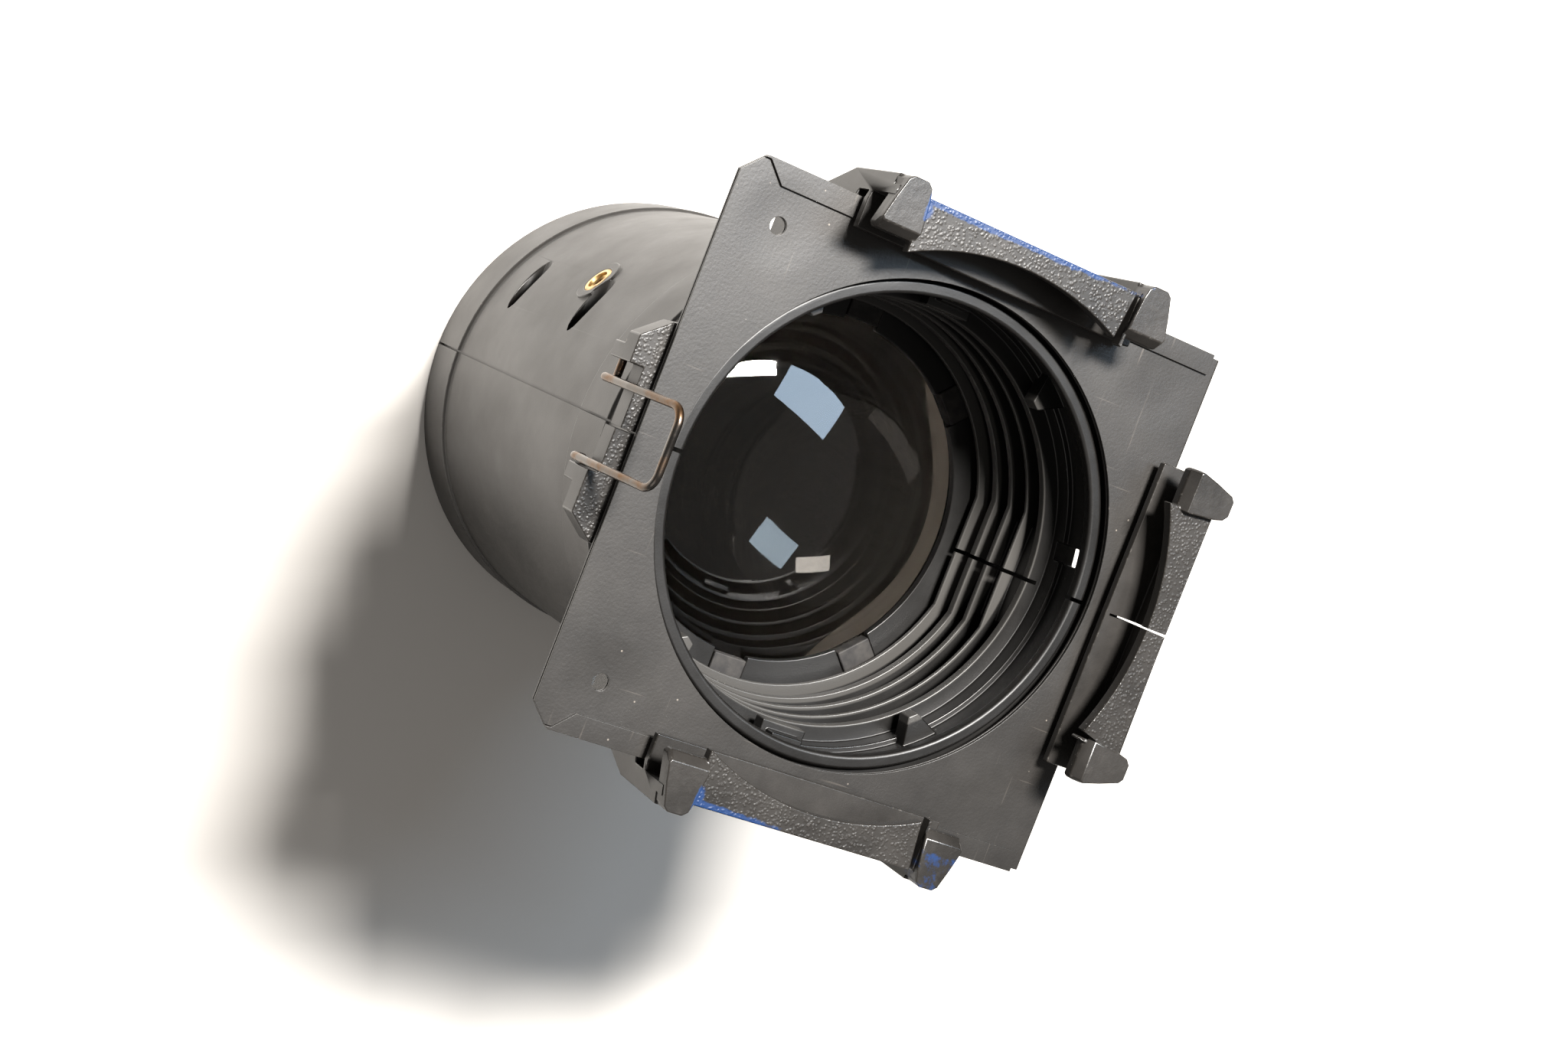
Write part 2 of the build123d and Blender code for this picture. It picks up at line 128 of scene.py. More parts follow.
FAR = 4
floor_mesh = bpy.data.meshes.new("floor")
floor_corners = [(-FAR, -FAR, 0), (FAR, -FAR, 0), (FAR, FAR, 0), (-FAR, FAR, 0)]
floor_mesh.from_pydata(floor_corners, [], [(0, 1, 2, 3)])
floor = bpy.data.objects.new("floor", floor_mesh)
bpy.context.scene.collection.objects.link(floor)
floor_paint = bpy.data.materials.new("floor")
floor_paint.use_nodes = True
floor_shader = floor_paint.node_tree.nodes["Principled BSDF"]
floor_shader.inputs["Base Color"].default_value = (0.66, 0.64, 0.61, 1)
floor_shader.inputs["Roughness"].default_value = 0.75
floor_mesh.materials.append(floor_paint)
bpy.context.scene.view_settings.view_transform = "Standard"
print("floor and three panels placed")

# %% [markdown]
# Every material below is a node tree, written node by node. Where a node stands on the sheet makes
# no difference to the look, so one loop lays the nodes out from left to right, each a column past
# the nodes that feed it.

# %% Helper: lay out a node tree
LONGEST_CHAIN = 16
COLUMN_WIDTH, ROW_HEIGHT = 240, 210


def spread_out(tree):
    """Give every node a location, one column past the nodes that feed it."""
    column = {node.name: 0 for node in tree.nodes}
    for _ in range(LONGEST_CHAIN):
        for link in tree.links:
            column[link.to_node.name] = max(column[link.to_node.name], column[link.from_node.name] + 1)
    filled = {}
    for node in tree.nodes:
        if node.type != "FRAME":
            filled[column[node.name]] = filled.get(column[node.name], 0) + 1
            row = filled[column[node.name]]
            node.location = (COLUMN_WIDTH * column[node.name], -ROW_HEIGHT * row)


print("columns of nodes are", COLUMN_WIDTH, "units apart")

# %% [markdown]
# ## The paint on the casting
#
# The tube is die-cast aluminium under satin black paint. Most of it is smooth with a faint orange
# The faces that point to the front are left coarse by the mould, with a leathery grain just
# under a millimetre wide, and the posts have larger, softer lumps. Paint has worn to a lighter
# grey along the edges, and the grain's crests are lighter grey, partly wear and partly a painted
# glint. A few strokes of blue paint are left on the outer edges of the side rails.
#
# All of it is worked out from Object coordinates: heights and sideways distances make masks, and
# noise breaks them up. The inside is darkened to near black, a painted shade, and the crests of its
# ribs are painted a lighter grey, a painted highlight. One function makes the paint for the faces
# and, with more wear, for the rounded edges.

# %% Material: painted casting
def cast_paint(name, wear, polish):
    """Black paint on a casting: wear lightens it, from 0 to 1, and polish lowers its roughness."""
    material = bpy.data.materials.new(name)
    material.use_nodes = True
    tree = material.node_tree
    tree.nodes.clear()

    place_frame = tree.nodes.new("NodeFrame")
    place_frame.label = "Where on the casting"
    grain_frame = tree.nodes.new("NodeFrame")
    grain_frame.label = "Cast grain"
    blue_frame = tree.nodes.new("NodeFrame")
    blue_frame.label = "Blue paint left on the side rails"
    colour_frame = tree.nodes.new("NodeFrame")
    colour_frame.label = "Paint, dust and wear"
    shine_frame = tree.nodes.new("NodeFrame")
    shine_frame.label = "Gloss"

    coords = tree.nodes.new("ShaderNodeTexCoord")
    coords.label = "Object coordinates"
    coords.parent = place_frame
    split = tree.nodes.new("ShaderNodeSeparateXYZ")
    split.label = "Sideways, up and height"
    split.parent = place_frame
    tree.links.new(coords.outputs["Object"], split.inputs["Vector"])

    # Faces that point to the front, by their normal.
    facing = tree.nodes.new("ShaderNodeNewGeometry")
    facing.label = "Surface direction"
    facing.parent = place_frame
    facing_parts = tree.nodes.new("ShaderNodeSeparateXYZ")
    facing_parts.label = "Direction's forward part"
    facing_parts.parent = place_frame
    tree.links.new(facing.outputs["True Normal"], facing_parts.inputs["Vector"])
    front_face = tree.nodes.new("ShaderNodeMapRange")
    front_face.label = "Faces the front"
    front_face.parent = place_frame
    front_face.inputs["From Min"].default_value = 0.75
    front_face.inputs["From Max"].default_value = 0.98
    tree.links.new(facing_parts.outputs["Z"], front_face.inputs["Value"])
    above_slot = tree.nodes.new("ShaderNodeMapRange")
    above_slot.label = "In front of the slots"
    above_slot.parent = place_frame
    above_slot.inputs["From Min"].default_value = FACE + 12 * MM
    above_slot.inputs["From Max"].default_value = FACE + 13 * MM
    tree.links.new(split.outputs["Z"], above_slot.inputs["Value"])
    post_top = tree.nodes.new("ShaderNodeMapRange")
    post_top.label = "Post heads"
    post_top.parent = place_frame
    post_top.inputs["From Min"].default_value = LIP_FRONT + 0.6 * MM
    post_top.inputs["From Max"].default_value = LIP_FRONT + 1.2 * MM
    tree.links.new(split.outputs["Z"], post_top.inputs["Value"])
    flange_side = tree.nodes.new("ShaderNodeMapRange")
    flange_side.label = "Top flange, beyond the frame"
    flange_side.parent = place_frame
    flange_side.inputs["From Min"].default_value = 76.5 * MM
    flange_side.inputs["From Max"].default_value = 77.5 * MM
    tree.links.new(split.outputs["Y"], flange_side.inputs["Value"])
    rough_area = tree.nodes.new("ShaderNodeMath")
    rough_area.label = "Lips or flange"
    rough_area.parent = place_frame
    rough_area.operation = "MAXIMUM"
    tree.links.new(above_slot.outputs["Result"], rough_area.inputs[0])
    tree.links.new(flange_side.outputs["Result"], rough_area.inputs[1])
    coarse = tree.nodes.new("ShaderNodeMath")
    coarse.label = "Coarse skin here"
    coarse.parent = place_frame
    coarse.operation = "MULTIPLY"
    tree.links.new(rough_area.outputs["Value"], coarse.inputs[0])
    tree.links.new(front_face.outputs["Result"], coarse.inputs[1])

    # The inside of the tube, which is darkened with painted shade.
    sideways_only = tree.nodes.new("ShaderNodeCombineXYZ")
    sideways_only.label = "Without the height"
    sideways_only.parent = place_frame
    tree.links.new(split.outputs["X"], sideways_only.inputs["X"])
    tree.links.new(split.outputs["Y"], sideways_only.inputs["Y"])
    radius = tree.nodes.new("ShaderNodeVectorMath")
    radius.label = "Distance from the axis"
    radius.parent = place_frame
    radius.operation = "LENGTH"
    tree.links.new(sideways_only.outputs["Vector"], radius.inputs[0])
    within = tree.nodes.new("ShaderNodeMapRange")
    within.label = "Within the bore"
    within.parent = place_frame
    within.inputs["From Min"].default_value = 71.6 * MM
    within.inputs["From Max"].default_value = 70.8 * MM
    tree.links.new(radius.outputs["Value"], within.inputs["Value"])
    below_rim = tree.nodes.new("ShaderNodeMapRange")
    below_rim.label = "Behind the rim's front"
    below_rim.parent = place_frame
    below_rim.inputs["From Min"].default_value = FACE - 2.0 * MM
    below_rim.inputs["From Max"].default_value = FACE - 2.6 * MM
    tree.links.new(split.outputs["Z"], below_rim.inputs["Value"])
    inside = tree.nodes.new("ShaderNodeMath")
    inside.label = "Inside the tube"
    inside.parent = place_frame
    inside.operation = "MULTIPLY"
    tree.links.new(within.outputs["Result"], inside.inputs[0])
    tree.links.new(below_rim.outputs["Result"], inside.inputs[1])

    # The crests of the ribs inside it, which get a painted highlight.
    near_crest = tree.nodes.new("ShaderNodeMapRange")
    near_crest.label = "On the ribs' crests"
    near_crest.parent = place_frame
    near_crest.inputs["From Min"].default_value = 62.2 * MM
    near_crest.inputs["From Max"].default_value = 61.7 * MM
    tree.links.new(radius.outputs["Value"], near_crest.inputs["Value"])
    ribbed = tree.nodes.new("ShaderNodeMapRange")
    ribbed.label = "In front of the lens's seat"
    ribbed.parent = place_frame
    ribbed.inputs["From Min"].default_value = FACE - 61.9 * MM
    ribbed.inputs["From Max"].default_value = FACE - 61.4 * MM
    tree.links.new(split.outputs["Z"], ribbed.inputs["Value"])
    in_ribs = tree.nodes.new("ShaderNodeMath")
    in_ribs.label = "Among the ribs"
    in_ribs.parent = place_frame
    in_ribs.operation = "MULTIPLY"
    tree.links.new(ribbed.outputs["Result"], in_ribs.inputs[0])
    tree.links.new(inside.outputs["Value"], in_ribs.inputs[1])
    rib_crest = tree.nodes.new("ShaderNodeMath")
    rib_crest.label = "Rib crests"
    rib_crest.parent = place_frame
    rib_crest.operation = "MULTIPLY"
    tree.links.new(near_crest.outputs["Result"], rib_crest.inputs[0])
    tree.links.new(in_ribs.outputs["Value"], rib_crest.inputs[1])

    # Grain: a bent pattern of cells, lumps and a fine orange peel.
    bend = tree.nodes.new("ShaderNodeTexNoise")
    bend.label = "Bends the grain"
    bend.parent = grain_frame
    bend.inputs["Scale"].default_value = 620
    bend.inputs["Detail"].default_value = 3
    tree.links.new(coords.outputs["Object"], bend.inputs["Vector"])
    bend_step = tree.nodes.new("ShaderNodeVectorMath")
    bend_step.label = "How far it bends"
    bend_step.parent = grain_frame
    bend_step.operation = "SCALE"
    bend_step.inputs["Scale"].default_value = 1.1 * MM
    tree.links.new(bend.outputs["Color"], bend_step.inputs[0])
    bent = tree.nodes.new("ShaderNodeVectorMath")
    bent.label = "Bent coordinates"
    bent.parent = grain_frame
    bent.operation = "ADD"
    tree.links.new(coords.outputs["Object"], bent.inputs[0])
    tree.links.new(bend_step.outputs["Vector"], bent.inputs[1])
    cells = tree.nodes.new("ShaderNodeTexVoronoi")
    cells.label = "Leathery cells"
    cells.parent = grain_frame
    cells.feature = "SMOOTH_F1"
    cells.inputs["Scale"].default_value = 1050
    cells.inputs["Smoothness"].default_value = 0.6
    tree.links.new(bent.outputs["Vector"], cells.inputs["Vector"])
    lumps = tree.nodes.new("ShaderNodeTexNoise")
    lumps.label = "Larger lumps"
    lumps.parent = grain_frame
    lumps.inputs["Scale"].default_value = 420
    lumps.inputs["Detail"].default_value = 4
    lumps.inputs["Roughness"].default_value = 0.6
    tree.links.new(coords.outputs["Object"], lumps.inputs["Vector"])
    peel = tree.nodes.new("ShaderNodeTexNoise")
    peel.label = "Orange peel"
    peel.parent = grain_frame
    peel.inputs["Scale"].default_value = 1900
    peel.inputs["Detail"].default_value = 3
    peel.inputs["Roughness"].default_value = 0.65
    tree.links.new(coords.outputs["Object"], peel.inputs["Vector"])
    crests = tree.nodes.new("ShaderNodeMapRange")
    crests.label = "Crests of the cells"
    crests.parent = grain_frame
    crests.inputs["From Min"].default_value = 0.55
    crests.inputs["From Max"].default_value = 0.1
    tree.links.new(cells.outputs["Distance"], crests.inputs["Value"])
    skin = tree.nodes.new("ShaderNodeMix")
    skin.label = "Cells, or lumps on the post heads"
    skin.parent = grain_frame
    skin.data_type = "FLOAT"
    tree.links.new(post_top.outputs["Result"], skin.inputs["Factor"])
    tree.links.new(crests.outputs["Result"], skin.inputs["A"])
    tree.links.new(lumps.outputs["Fac"], skin.inputs["B"])
    grain_height = tree.nodes.new("ShaderNodeMath")
    grain_height.label = "Grain only on the coarse faces"
    grain_height.parent = grain_frame
    grain_height.operation = "MULTIPLY"
    tree.links.new(skin.outputs["Result"], grain_height.inputs[0])
    tree.links.new(coarse.outputs["Value"], grain_height.inputs[1])
    grain_bump = tree.nodes.new("ShaderNodeBump")
    grain_bump.label = "Coarse grain, a tenth of a millimetre"
    grain_bump.parent = grain_frame
    grain_bump.inputs["Strength"].default_value = 1.0
    grain_bump.inputs["Distance"].default_value = 0.1 * MM
    tree.links.new(grain_height.outputs["Value"], grain_bump.inputs["Height"])
    peel_bump = tree.nodes.new("ShaderNodeBump")
    peel_bump.label = "Faint peel everywhere"
    peel_bump.parent = grain_frame
    peel_bump.inputs["Strength"].default_value = 0.5
    peel_bump.inputs["Distance"].default_value = 0.05 * MM
    tree.links.new(peel.outputs["Fac"], peel_bump.inputs["Height"])
    tree.links.new(grain_bump.outputs["Normal"], peel_bump.inputs["Normal"])

    # Blue paint: the outer edge of the side rails, most of it near the +Y posts.
    sideways = tree.nodes.new("ShaderNodeMath")
    sideways.label = "Distance from the middle"
    sideways.parent = blue_frame
    sideways.operation = "ABSOLUTE"
    tree.links.new(split.outputs["X"], sideways.inputs[0])
    outer_edge = tree.nodes.new("ShaderNodeMapRange")
    outer_edge.label = "Outer edge of the lip"
    outer_edge.parent = blue_frame
    outer_edge.inputs["From Min"].default_value = RAIL_OUT - 2.6 * MM
    outer_edge.inputs["From Max"].default_value = RAIL_OUT - 0.7 * MM
    tree.links.new(sideways.outputs["Value"], outer_edge.inputs["Value"])
    on_right = tree.nodes.new("ShaderNodeMapRange")
    on_right.label = "Is it the +X rail"
    on_right.parent = blue_frame
    on_right.inputs["From Min"].default_value = -1 * MM
    on_right.inputs["From Max"].default_value = 1 * MM
    tree.links.new(split.outputs["X"], on_right.inputs["Value"])
    right_run = tree.nodes.new("ShaderNodeMapRange")
    right_run.label = "Along the +X rail"
    right_run.parent = blue_frame
    right_run.inputs["From Min"].default_value = -60 * MM
    right_run.inputs["From Max"].default_value = 10 * MM
    tree.links.new(split.outputs["Y"], right_run.inputs["Value"])
    left_run = tree.nodes.new("ShaderNodeMapRange")
    left_run.label = "Along the -X rail"
    left_run.parent = blue_frame
    left_run.inputs["From Min"].default_value = -6 * MM
    left_run.inputs["From Max"].default_value = 30 * MM
    tree.links.new(split.outputs["Y"], left_run.inputs["Value"])
    run = tree.nodes.new("ShaderNodeMix")
    run.label = "That rail's stretch"
    run.parent = blue_frame
    run.data_type = "FLOAT"
    tree.links.new(on_right.outputs["Result"], run.inputs["Factor"])
    tree.links.new(left_run.outputs["Result"], run.inputs["A"])
    tree.links.new(right_run.outputs["Result"], run.inputs["B"])
    before_post = tree.nodes.new("ShaderNodeMapRange")
    before_post.label = "Stops on the post"
    before_post.parent = blue_frame
    before_post.inputs["From Min"].default_value = 36.4 * MM
    before_post.inputs["From Max"].default_value = 35.4 * MM
    tree.links.new(split.outputs["Y"], before_post.inputs["Value"])
    beside_post = tree.nodes.new("ShaderNodeMapRange")
    beside_post.label = "Close beside the +Y post"
    beside_post.parent = blue_frame
    beside_post.inputs["From Min"].default_value = 31.0 * MM
    beside_post.inputs["From Max"].default_value = 34.6 * MM
    tree.links.new(split.outputs["Y"], beside_post.inputs["Value"])
    post_fill = tree.nodes.new("ShaderNodeMapRange")
    post_fill.label = "Outer part of the lip"
    post_fill.parent = blue_frame
    post_fill.inputs["From Min"].default_value = RAIL_OUT - 8.5 * MM
    post_fill.inputs["From Max"].default_value = RAIL_OUT - 3.0 * MM
    tree.links.new(sideways.outputs["Value"], post_fill.inputs["Value"])
    corner = tree.nodes.new("ShaderNodeMath")
    corner.label = "Corner beside the post"
    corner.parent = blue_frame
    corner.operation = "MULTIPLY"
    tree.links.new(beside_post.outputs["Result"], corner.inputs[0])
    tree.links.new(post_fill.outputs["Result"], corner.inputs[1])
    stroke = tree.nodes.new("ShaderNodeMath")
    stroke.label = "Stroke along the edge"
    stroke.parent = blue_frame
    stroke.operation = "MULTIPLY"
    tree.links.new(outer_edge.outputs["Result"], stroke.inputs[0])
    tree.links.new(run.outputs["Result"], stroke.inputs[1])
    blue_area = tree.nodes.new("ShaderNodeMath")
    blue_area.label = "Stroke or corner"
    blue_area.parent = blue_frame
    blue_area.operation = "MAXIMUM"
    tree.links.new(stroke.outputs["Value"], blue_area.inputs[0])
    tree.links.new(corner.outputs["Value"], blue_area.inputs[1])
    blue_lip = tree.nodes.new("ShaderNodeMath")
    blue_lip.label = "Only in front of the slots"
    blue_lip.parent = blue_frame
    blue_lip.operation = "MULTIPLY"
    tree.links.new(blue_area.outputs["Value"], blue_lip.inputs[0])
    tree.links.new(above_slot.outputs["Result"], blue_lip.inputs[1])
    blue_kept = tree.nodes.new("ShaderNodeMath")
    blue_kept.label = "Not past the post"
    blue_kept.parent = blue_frame
    blue_kept.operation = "MULTIPLY"
    tree.links.new(blue_lip.outputs["Value"], blue_kept.inputs[0])
    tree.links.new(before_post.outputs["Result"], blue_kept.inputs[1])
    far_post = tree.nodes.new("ShaderNodeMapRange")
    far_post.label = "Knocks on the -X rail's far post"
    far_post.parent = blue_frame
    far_post.inputs["From Min"].default_value = -31 * MM
    far_post.inputs["From Max"].default_value = -35 * MM
    far_post.inputs["To Max"].default_value = 0.41
    tree.links.new(split.outputs["Y"], far_post.inputs["Value"])
    far_left = tree.nodes.new("ShaderNodeMapRange")
    far_left.label = "Only the -X rail"
    far_left.parent = blue_frame
    far_left.inputs["From Min"].default_value = -72 * MM
    far_left.inputs["From Max"].default_value = -78 * MM
    tree.links.new(split.outputs["X"], far_left.inputs["Value"])
    far_front = tree.nodes.new("ShaderNodeMath")
    far_front.label = "Its front part"
    far_front.parent = blue_frame
    far_front.operation = "MULTIPLY"
    tree.links.new(far_left.outputs["Result"], far_front.inputs[0])
    tree.links.new(above_slot.outputs["Result"], far_front.inputs[1])
    knocks = tree.nodes.new("ShaderNodeMath")
    knocks.label = "Knocks"
    knocks.parent = blue_frame
    knocks.operation = "MULTIPLY"
    tree.links.new(far_front.outputs["Value"], knocks.inputs[0])
    tree.links.new(far_post.outputs["Result"], knocks.inputs[1])
    all_blue = tree.nodes.new("ShaderNodeMath")
    all_blue.label = "Strokes and knocks"
    all_blue.parent = blue_frame
    all_blue.operation = "MAXIMUM"
    tree.links.new(blue_kept.outputs["Value"], all_blue.inputs[0])
    tree.links.new(knocks.outputs["Value"], all_blue.inputs[1])
    flakes = tree.nodes.new("ShaderNodeTexNoise")
    flakes.label = "Where it flaked off"
    flakes.parent = blue_frame
    flakes.inputs["Scale"].default_value = 260
    flakes.inputs["Detail"].default_value = 6
    flakes.inputs["Roughness"].default_value = 0.7
    tree.links.new(coords.outputs["Object"], flakes.inputs["Vector"])
    flaked = tree.nodes.new("ShaderNodeMath")
    flaked.label = "Mask against the flakes"
    flaked.parent = blue_frame
    flaked.operation = "SUBTRACT"
    tree.links.new(all_blue.outputs["Value"], flaked.inputs[0])
    tree.links.new(flakes.outputs["Fac"], flaked.inputs[1])
    blue = tree.nodes.new("ShaderNodeMapRange")
    blue.label = "Blue or not"
    blue.parent = blue_frame
    blue.inputs["From Min"].default_value = -0.10
    blue.inputs["From Max"].default_value = 0.06
    tree.links.new(flaked.outputs["Value"], blue.inputs["Value"])

    # Colour: black, a warm dusty cast in patches, crests lighter (wear and painted glint), edge wear,
    # painted shade inside, painted highlight on rib crests, then the blue.
    patches = tree.nodes.new("ShaderNodeTexNoise")
    patches.label = "Patches of dust"
    patches.parent = colour_frame
    patches.inputs["Scale"].default_value = 38
    patches.inputs["Detail"].default_value = 7
    patches.inputs["Roughness"].default_value = 0.62
    tree.links.new(coords.outputs["Object"], patches.inputs["Vector"])
    dust = tree.nodes.new("ShaderNodeValToRGB")
    dust.label = "Black to dusty black"
    dust.parent = colour_frame
    dust.color_ramp.elements[0].position = 0.35
    dust.color_ramp.elements[0].color = (0.010, 0.009, 0.008, 1)
    dust.color_ramp.elements[1].position = 0.75
    dust.color_ramp.elements[1].color = (0.022, 0.0195, 0.017, 1)
    tree.links.new(patches.outputs["Fac"], dust.inputs["Fac"])
    # Partly wear, partly painted glint: the highest grains are lightened.
    grain_wear_and_glint = tree.nodes.new("ShaderNodeMapRange")
    grain_wear_and_glint.label = "Highest grains: rubbed, with painted glint"
    grain_wear_and_glint.parent = colour_frame
    grain_wear_and_glint.inputs["From Min"].default_value = 0.55
    grain_wear_and_glint.inputs["From Max"].default_value = 0.95
    grain_wear_and_glint.inputs["To Max"].default_value = 0.25
    tree.links.new(grain_height.outputs["Value"], grain_wear_and_glint.inputs["Value"])
    chips = tree.nodes.new("ShaderNodeTexNoise")
    chips.label = "Chips along the edges"
    chips.parent = colour_frame
    chips.inputs["Scale"].default_value = 700
    chips.inputs["Detail"].default_value = 5
    chips.inputs["Roughness"].default_value = 0.7
    tree.links.new(coords.outputs["Object"], chips.inputs["Vector"])
    chipped = tree.nodes.new("ShaderNodeMapRange")
    chipped.label = "Amount of wear"
    chipped.parent = colour_frame
    chipped.inputs["From Min"].default_value = 0.80 - 0.42 * wear
    chipped.inputs["From Max"].default_value = 0.95 - 0.42 * wear
    chipped.inputs["To Max"].default_value = wear
    tree.links.new(chips.outputs["Fac"], chipped.inputs["Value"])
    wear_and_glint = tree.nodes.new("ShaderNodeMath")
    wear_and_glint.label = "Crests or edges"
    wear_and_glint.parent = colour_frame
    wear_and_glint.operation = "MAXIMUM"
    tree.links.new(grain_wear_and_glint.outputs["Result"], wear_and_glint.inputs[0])
    tree.links.new(chipped.outputs["Result"], wear_and_glint.inputs[1])
    # Edge chips are real wear; the grain's crests add a painted glint.
    rubbed_and_glint = tree.nodes.new("ShaderNodeMix")
    rubbed_and_glint.label = "Rubbed paint and painted glint are grey"
    rubbed_and_glint.parent = colour_frame
    rubbed_and_glint.data_type = "RGBA"
    rubbed_and_glint.inputs["B"].default_value = (0.080, 0.074, 0.068, 1)
    tree.links.new(wear_and_glint.outputs["Value"], rubbed_and_glint.inputs["Factor"])
    tree.links.new(dust.outputs["Color"], rubbed_and_glint.inputs["A"])
    # Painted shade: the inside of the tube is darkened to near black.
    painted_shade_inside = tree.nodes.new("ShaderNodeMix")
    painted_shade_inside.label = "Painted shade inside"
    painted_shade_inside.parent = colour_frame
    painted_shade_inside.data_type = "RGBA"
    painted_shade_inside.inputs["B"].default_value = (0.0035, 0.0031, 0.0027, 1)
    tree.links.new(inside.outputs["Value"], painted_shade_inside.inputs["Factor"])
    tree.links.new(rubbed_and_glint.outputs["Result"], painted_shade_inside.inputs["A"])
    # Painted highlight: the rib crests are painted a lighter grey.
    rib_crest_highlight = tree.nodes.new("ShaderNodeMix")
    rib_crest_highlight.label = "Painted highlight on rib crests"
    rib_crest_highlight.parent = colour_frame
    rib_crest_highlight.data_type = "RGBA"
    rib_crest_highlight.inputs["B"].default_value = (0.048, 0.046, 0.043, 1)
    tree.links.new(rib_crest.outputs["Value"], rib_crest_highlight.inputs["Factor"])
    tree.links.new(painted_shade_inside.outputs["Result"], rib_crest_highlight.inputs["A"])
    painted = tree.nodes.new("ShaderNodeMix")
    painted.label = "Blue over black"
    painted.parent = colour_frame
    painted.data_type = "RGBA"
    painted.inputs["B"].default_value = (0.007, 0.024, 0.080, 1)
    tree.links.new(blue.outputs["Result"], painted.inputs["Factor"])
    tree.links.new(rib_crest_highlight.outputs["Result"], painted.inputs["A"])

    # Gloss: satin, duller in dusty patches and in the valleys of the grain.
    gloss = tree.nodes.new("ShaderNodeMapRange")
    gloss.label = "Satin, uneven"
    gloss.parent = shine_frame
    gloss.inputs["From Min"].default_value = 0.3
    gloss.inputs["From Max"].default_value = 0.7
    gloss.inputs["To Min"].default_value = 0.37 - polish
    gloss.inputs["To Max"].default_value = 0.50 - polish
    tree.links.new(patches.outputs["Fac"], gloss.inputs["Value"])
    grain_gloss = tree.nodes.new("ShaderNodeMix")
    grain_gloss.label = "Crests shine more"
    grain_gloss.parent = shine_frame
    grain_gloss.data_type = "FLOAT"
    grain_gloss.inputs["B"].default_value = 0.42
    tree.links.new(grain_wear_and_glint.outputs["Result"], grain_gloss.inputs["Factor"])
    tree.links.new(gloss.outputs["Result"], grain_gloss.inputs["A"])

    crest_gloss = tree.nodes.new("ShaderNodeMix")
    crest_gloss.label = "Rib crests shine more"
    crest_gloss.parent = shine_frame
    crest_gloss.data_type = "FLOAT"
    crest_gloss.inputs["B"].default_value = 0.36
    tree.links.new(rib_crest.outputs["Value"], crest_gloss.inputs["Factor"])
    tree.links.new(grain_gloss.outputs["Result"], crest_gloss.inputs["A"])

    shader = tree.nodes.new("ShaderNodeBsdfPrincipled")
    shader.label = "Satin paint"
    shader.inputs["Specular IOR Level"].default_value = 0.5
    tree.links.new(painted.outputs["Result"], shader.inputs["Base Color"])
    tree.links.new(crest_gloss.outputs["Result"], shader.inputs["Roughness"])
    tree.links.new(peel_bump.outputs["Normal"], shader.inputs["Normal"])
    output = tree.nodes.new("ShaderNodeOutputMaterial")
    output.label = "Surface"
    tree.links.new(shader.outputs["BSDF"], output.inputs["Surface"])
    spread_out(tree)
    return material


cast_black = cast_paint("cast_black", 0.12, 0.0)
cast_black_edge = cast_paint("cast_black_edge", 0.6, 0.14)
print("paint nodes on the casting:", len(cast_black.node_tree.nodes))

# %% [markdown]
# ## The paint on the colour frame
#
# The colour frame is folded from thin steel and sprayed satin black. Paint on sheet is flatter
# than on a casting, so what shows is a broad sheen, hairline scuffs from sliding in and out of
# the slot, dust specks, and paint worn grey along the cut and folded edges. Near the corners the
# sheet is dented a little where the leaves are pulled apart to change the colour.

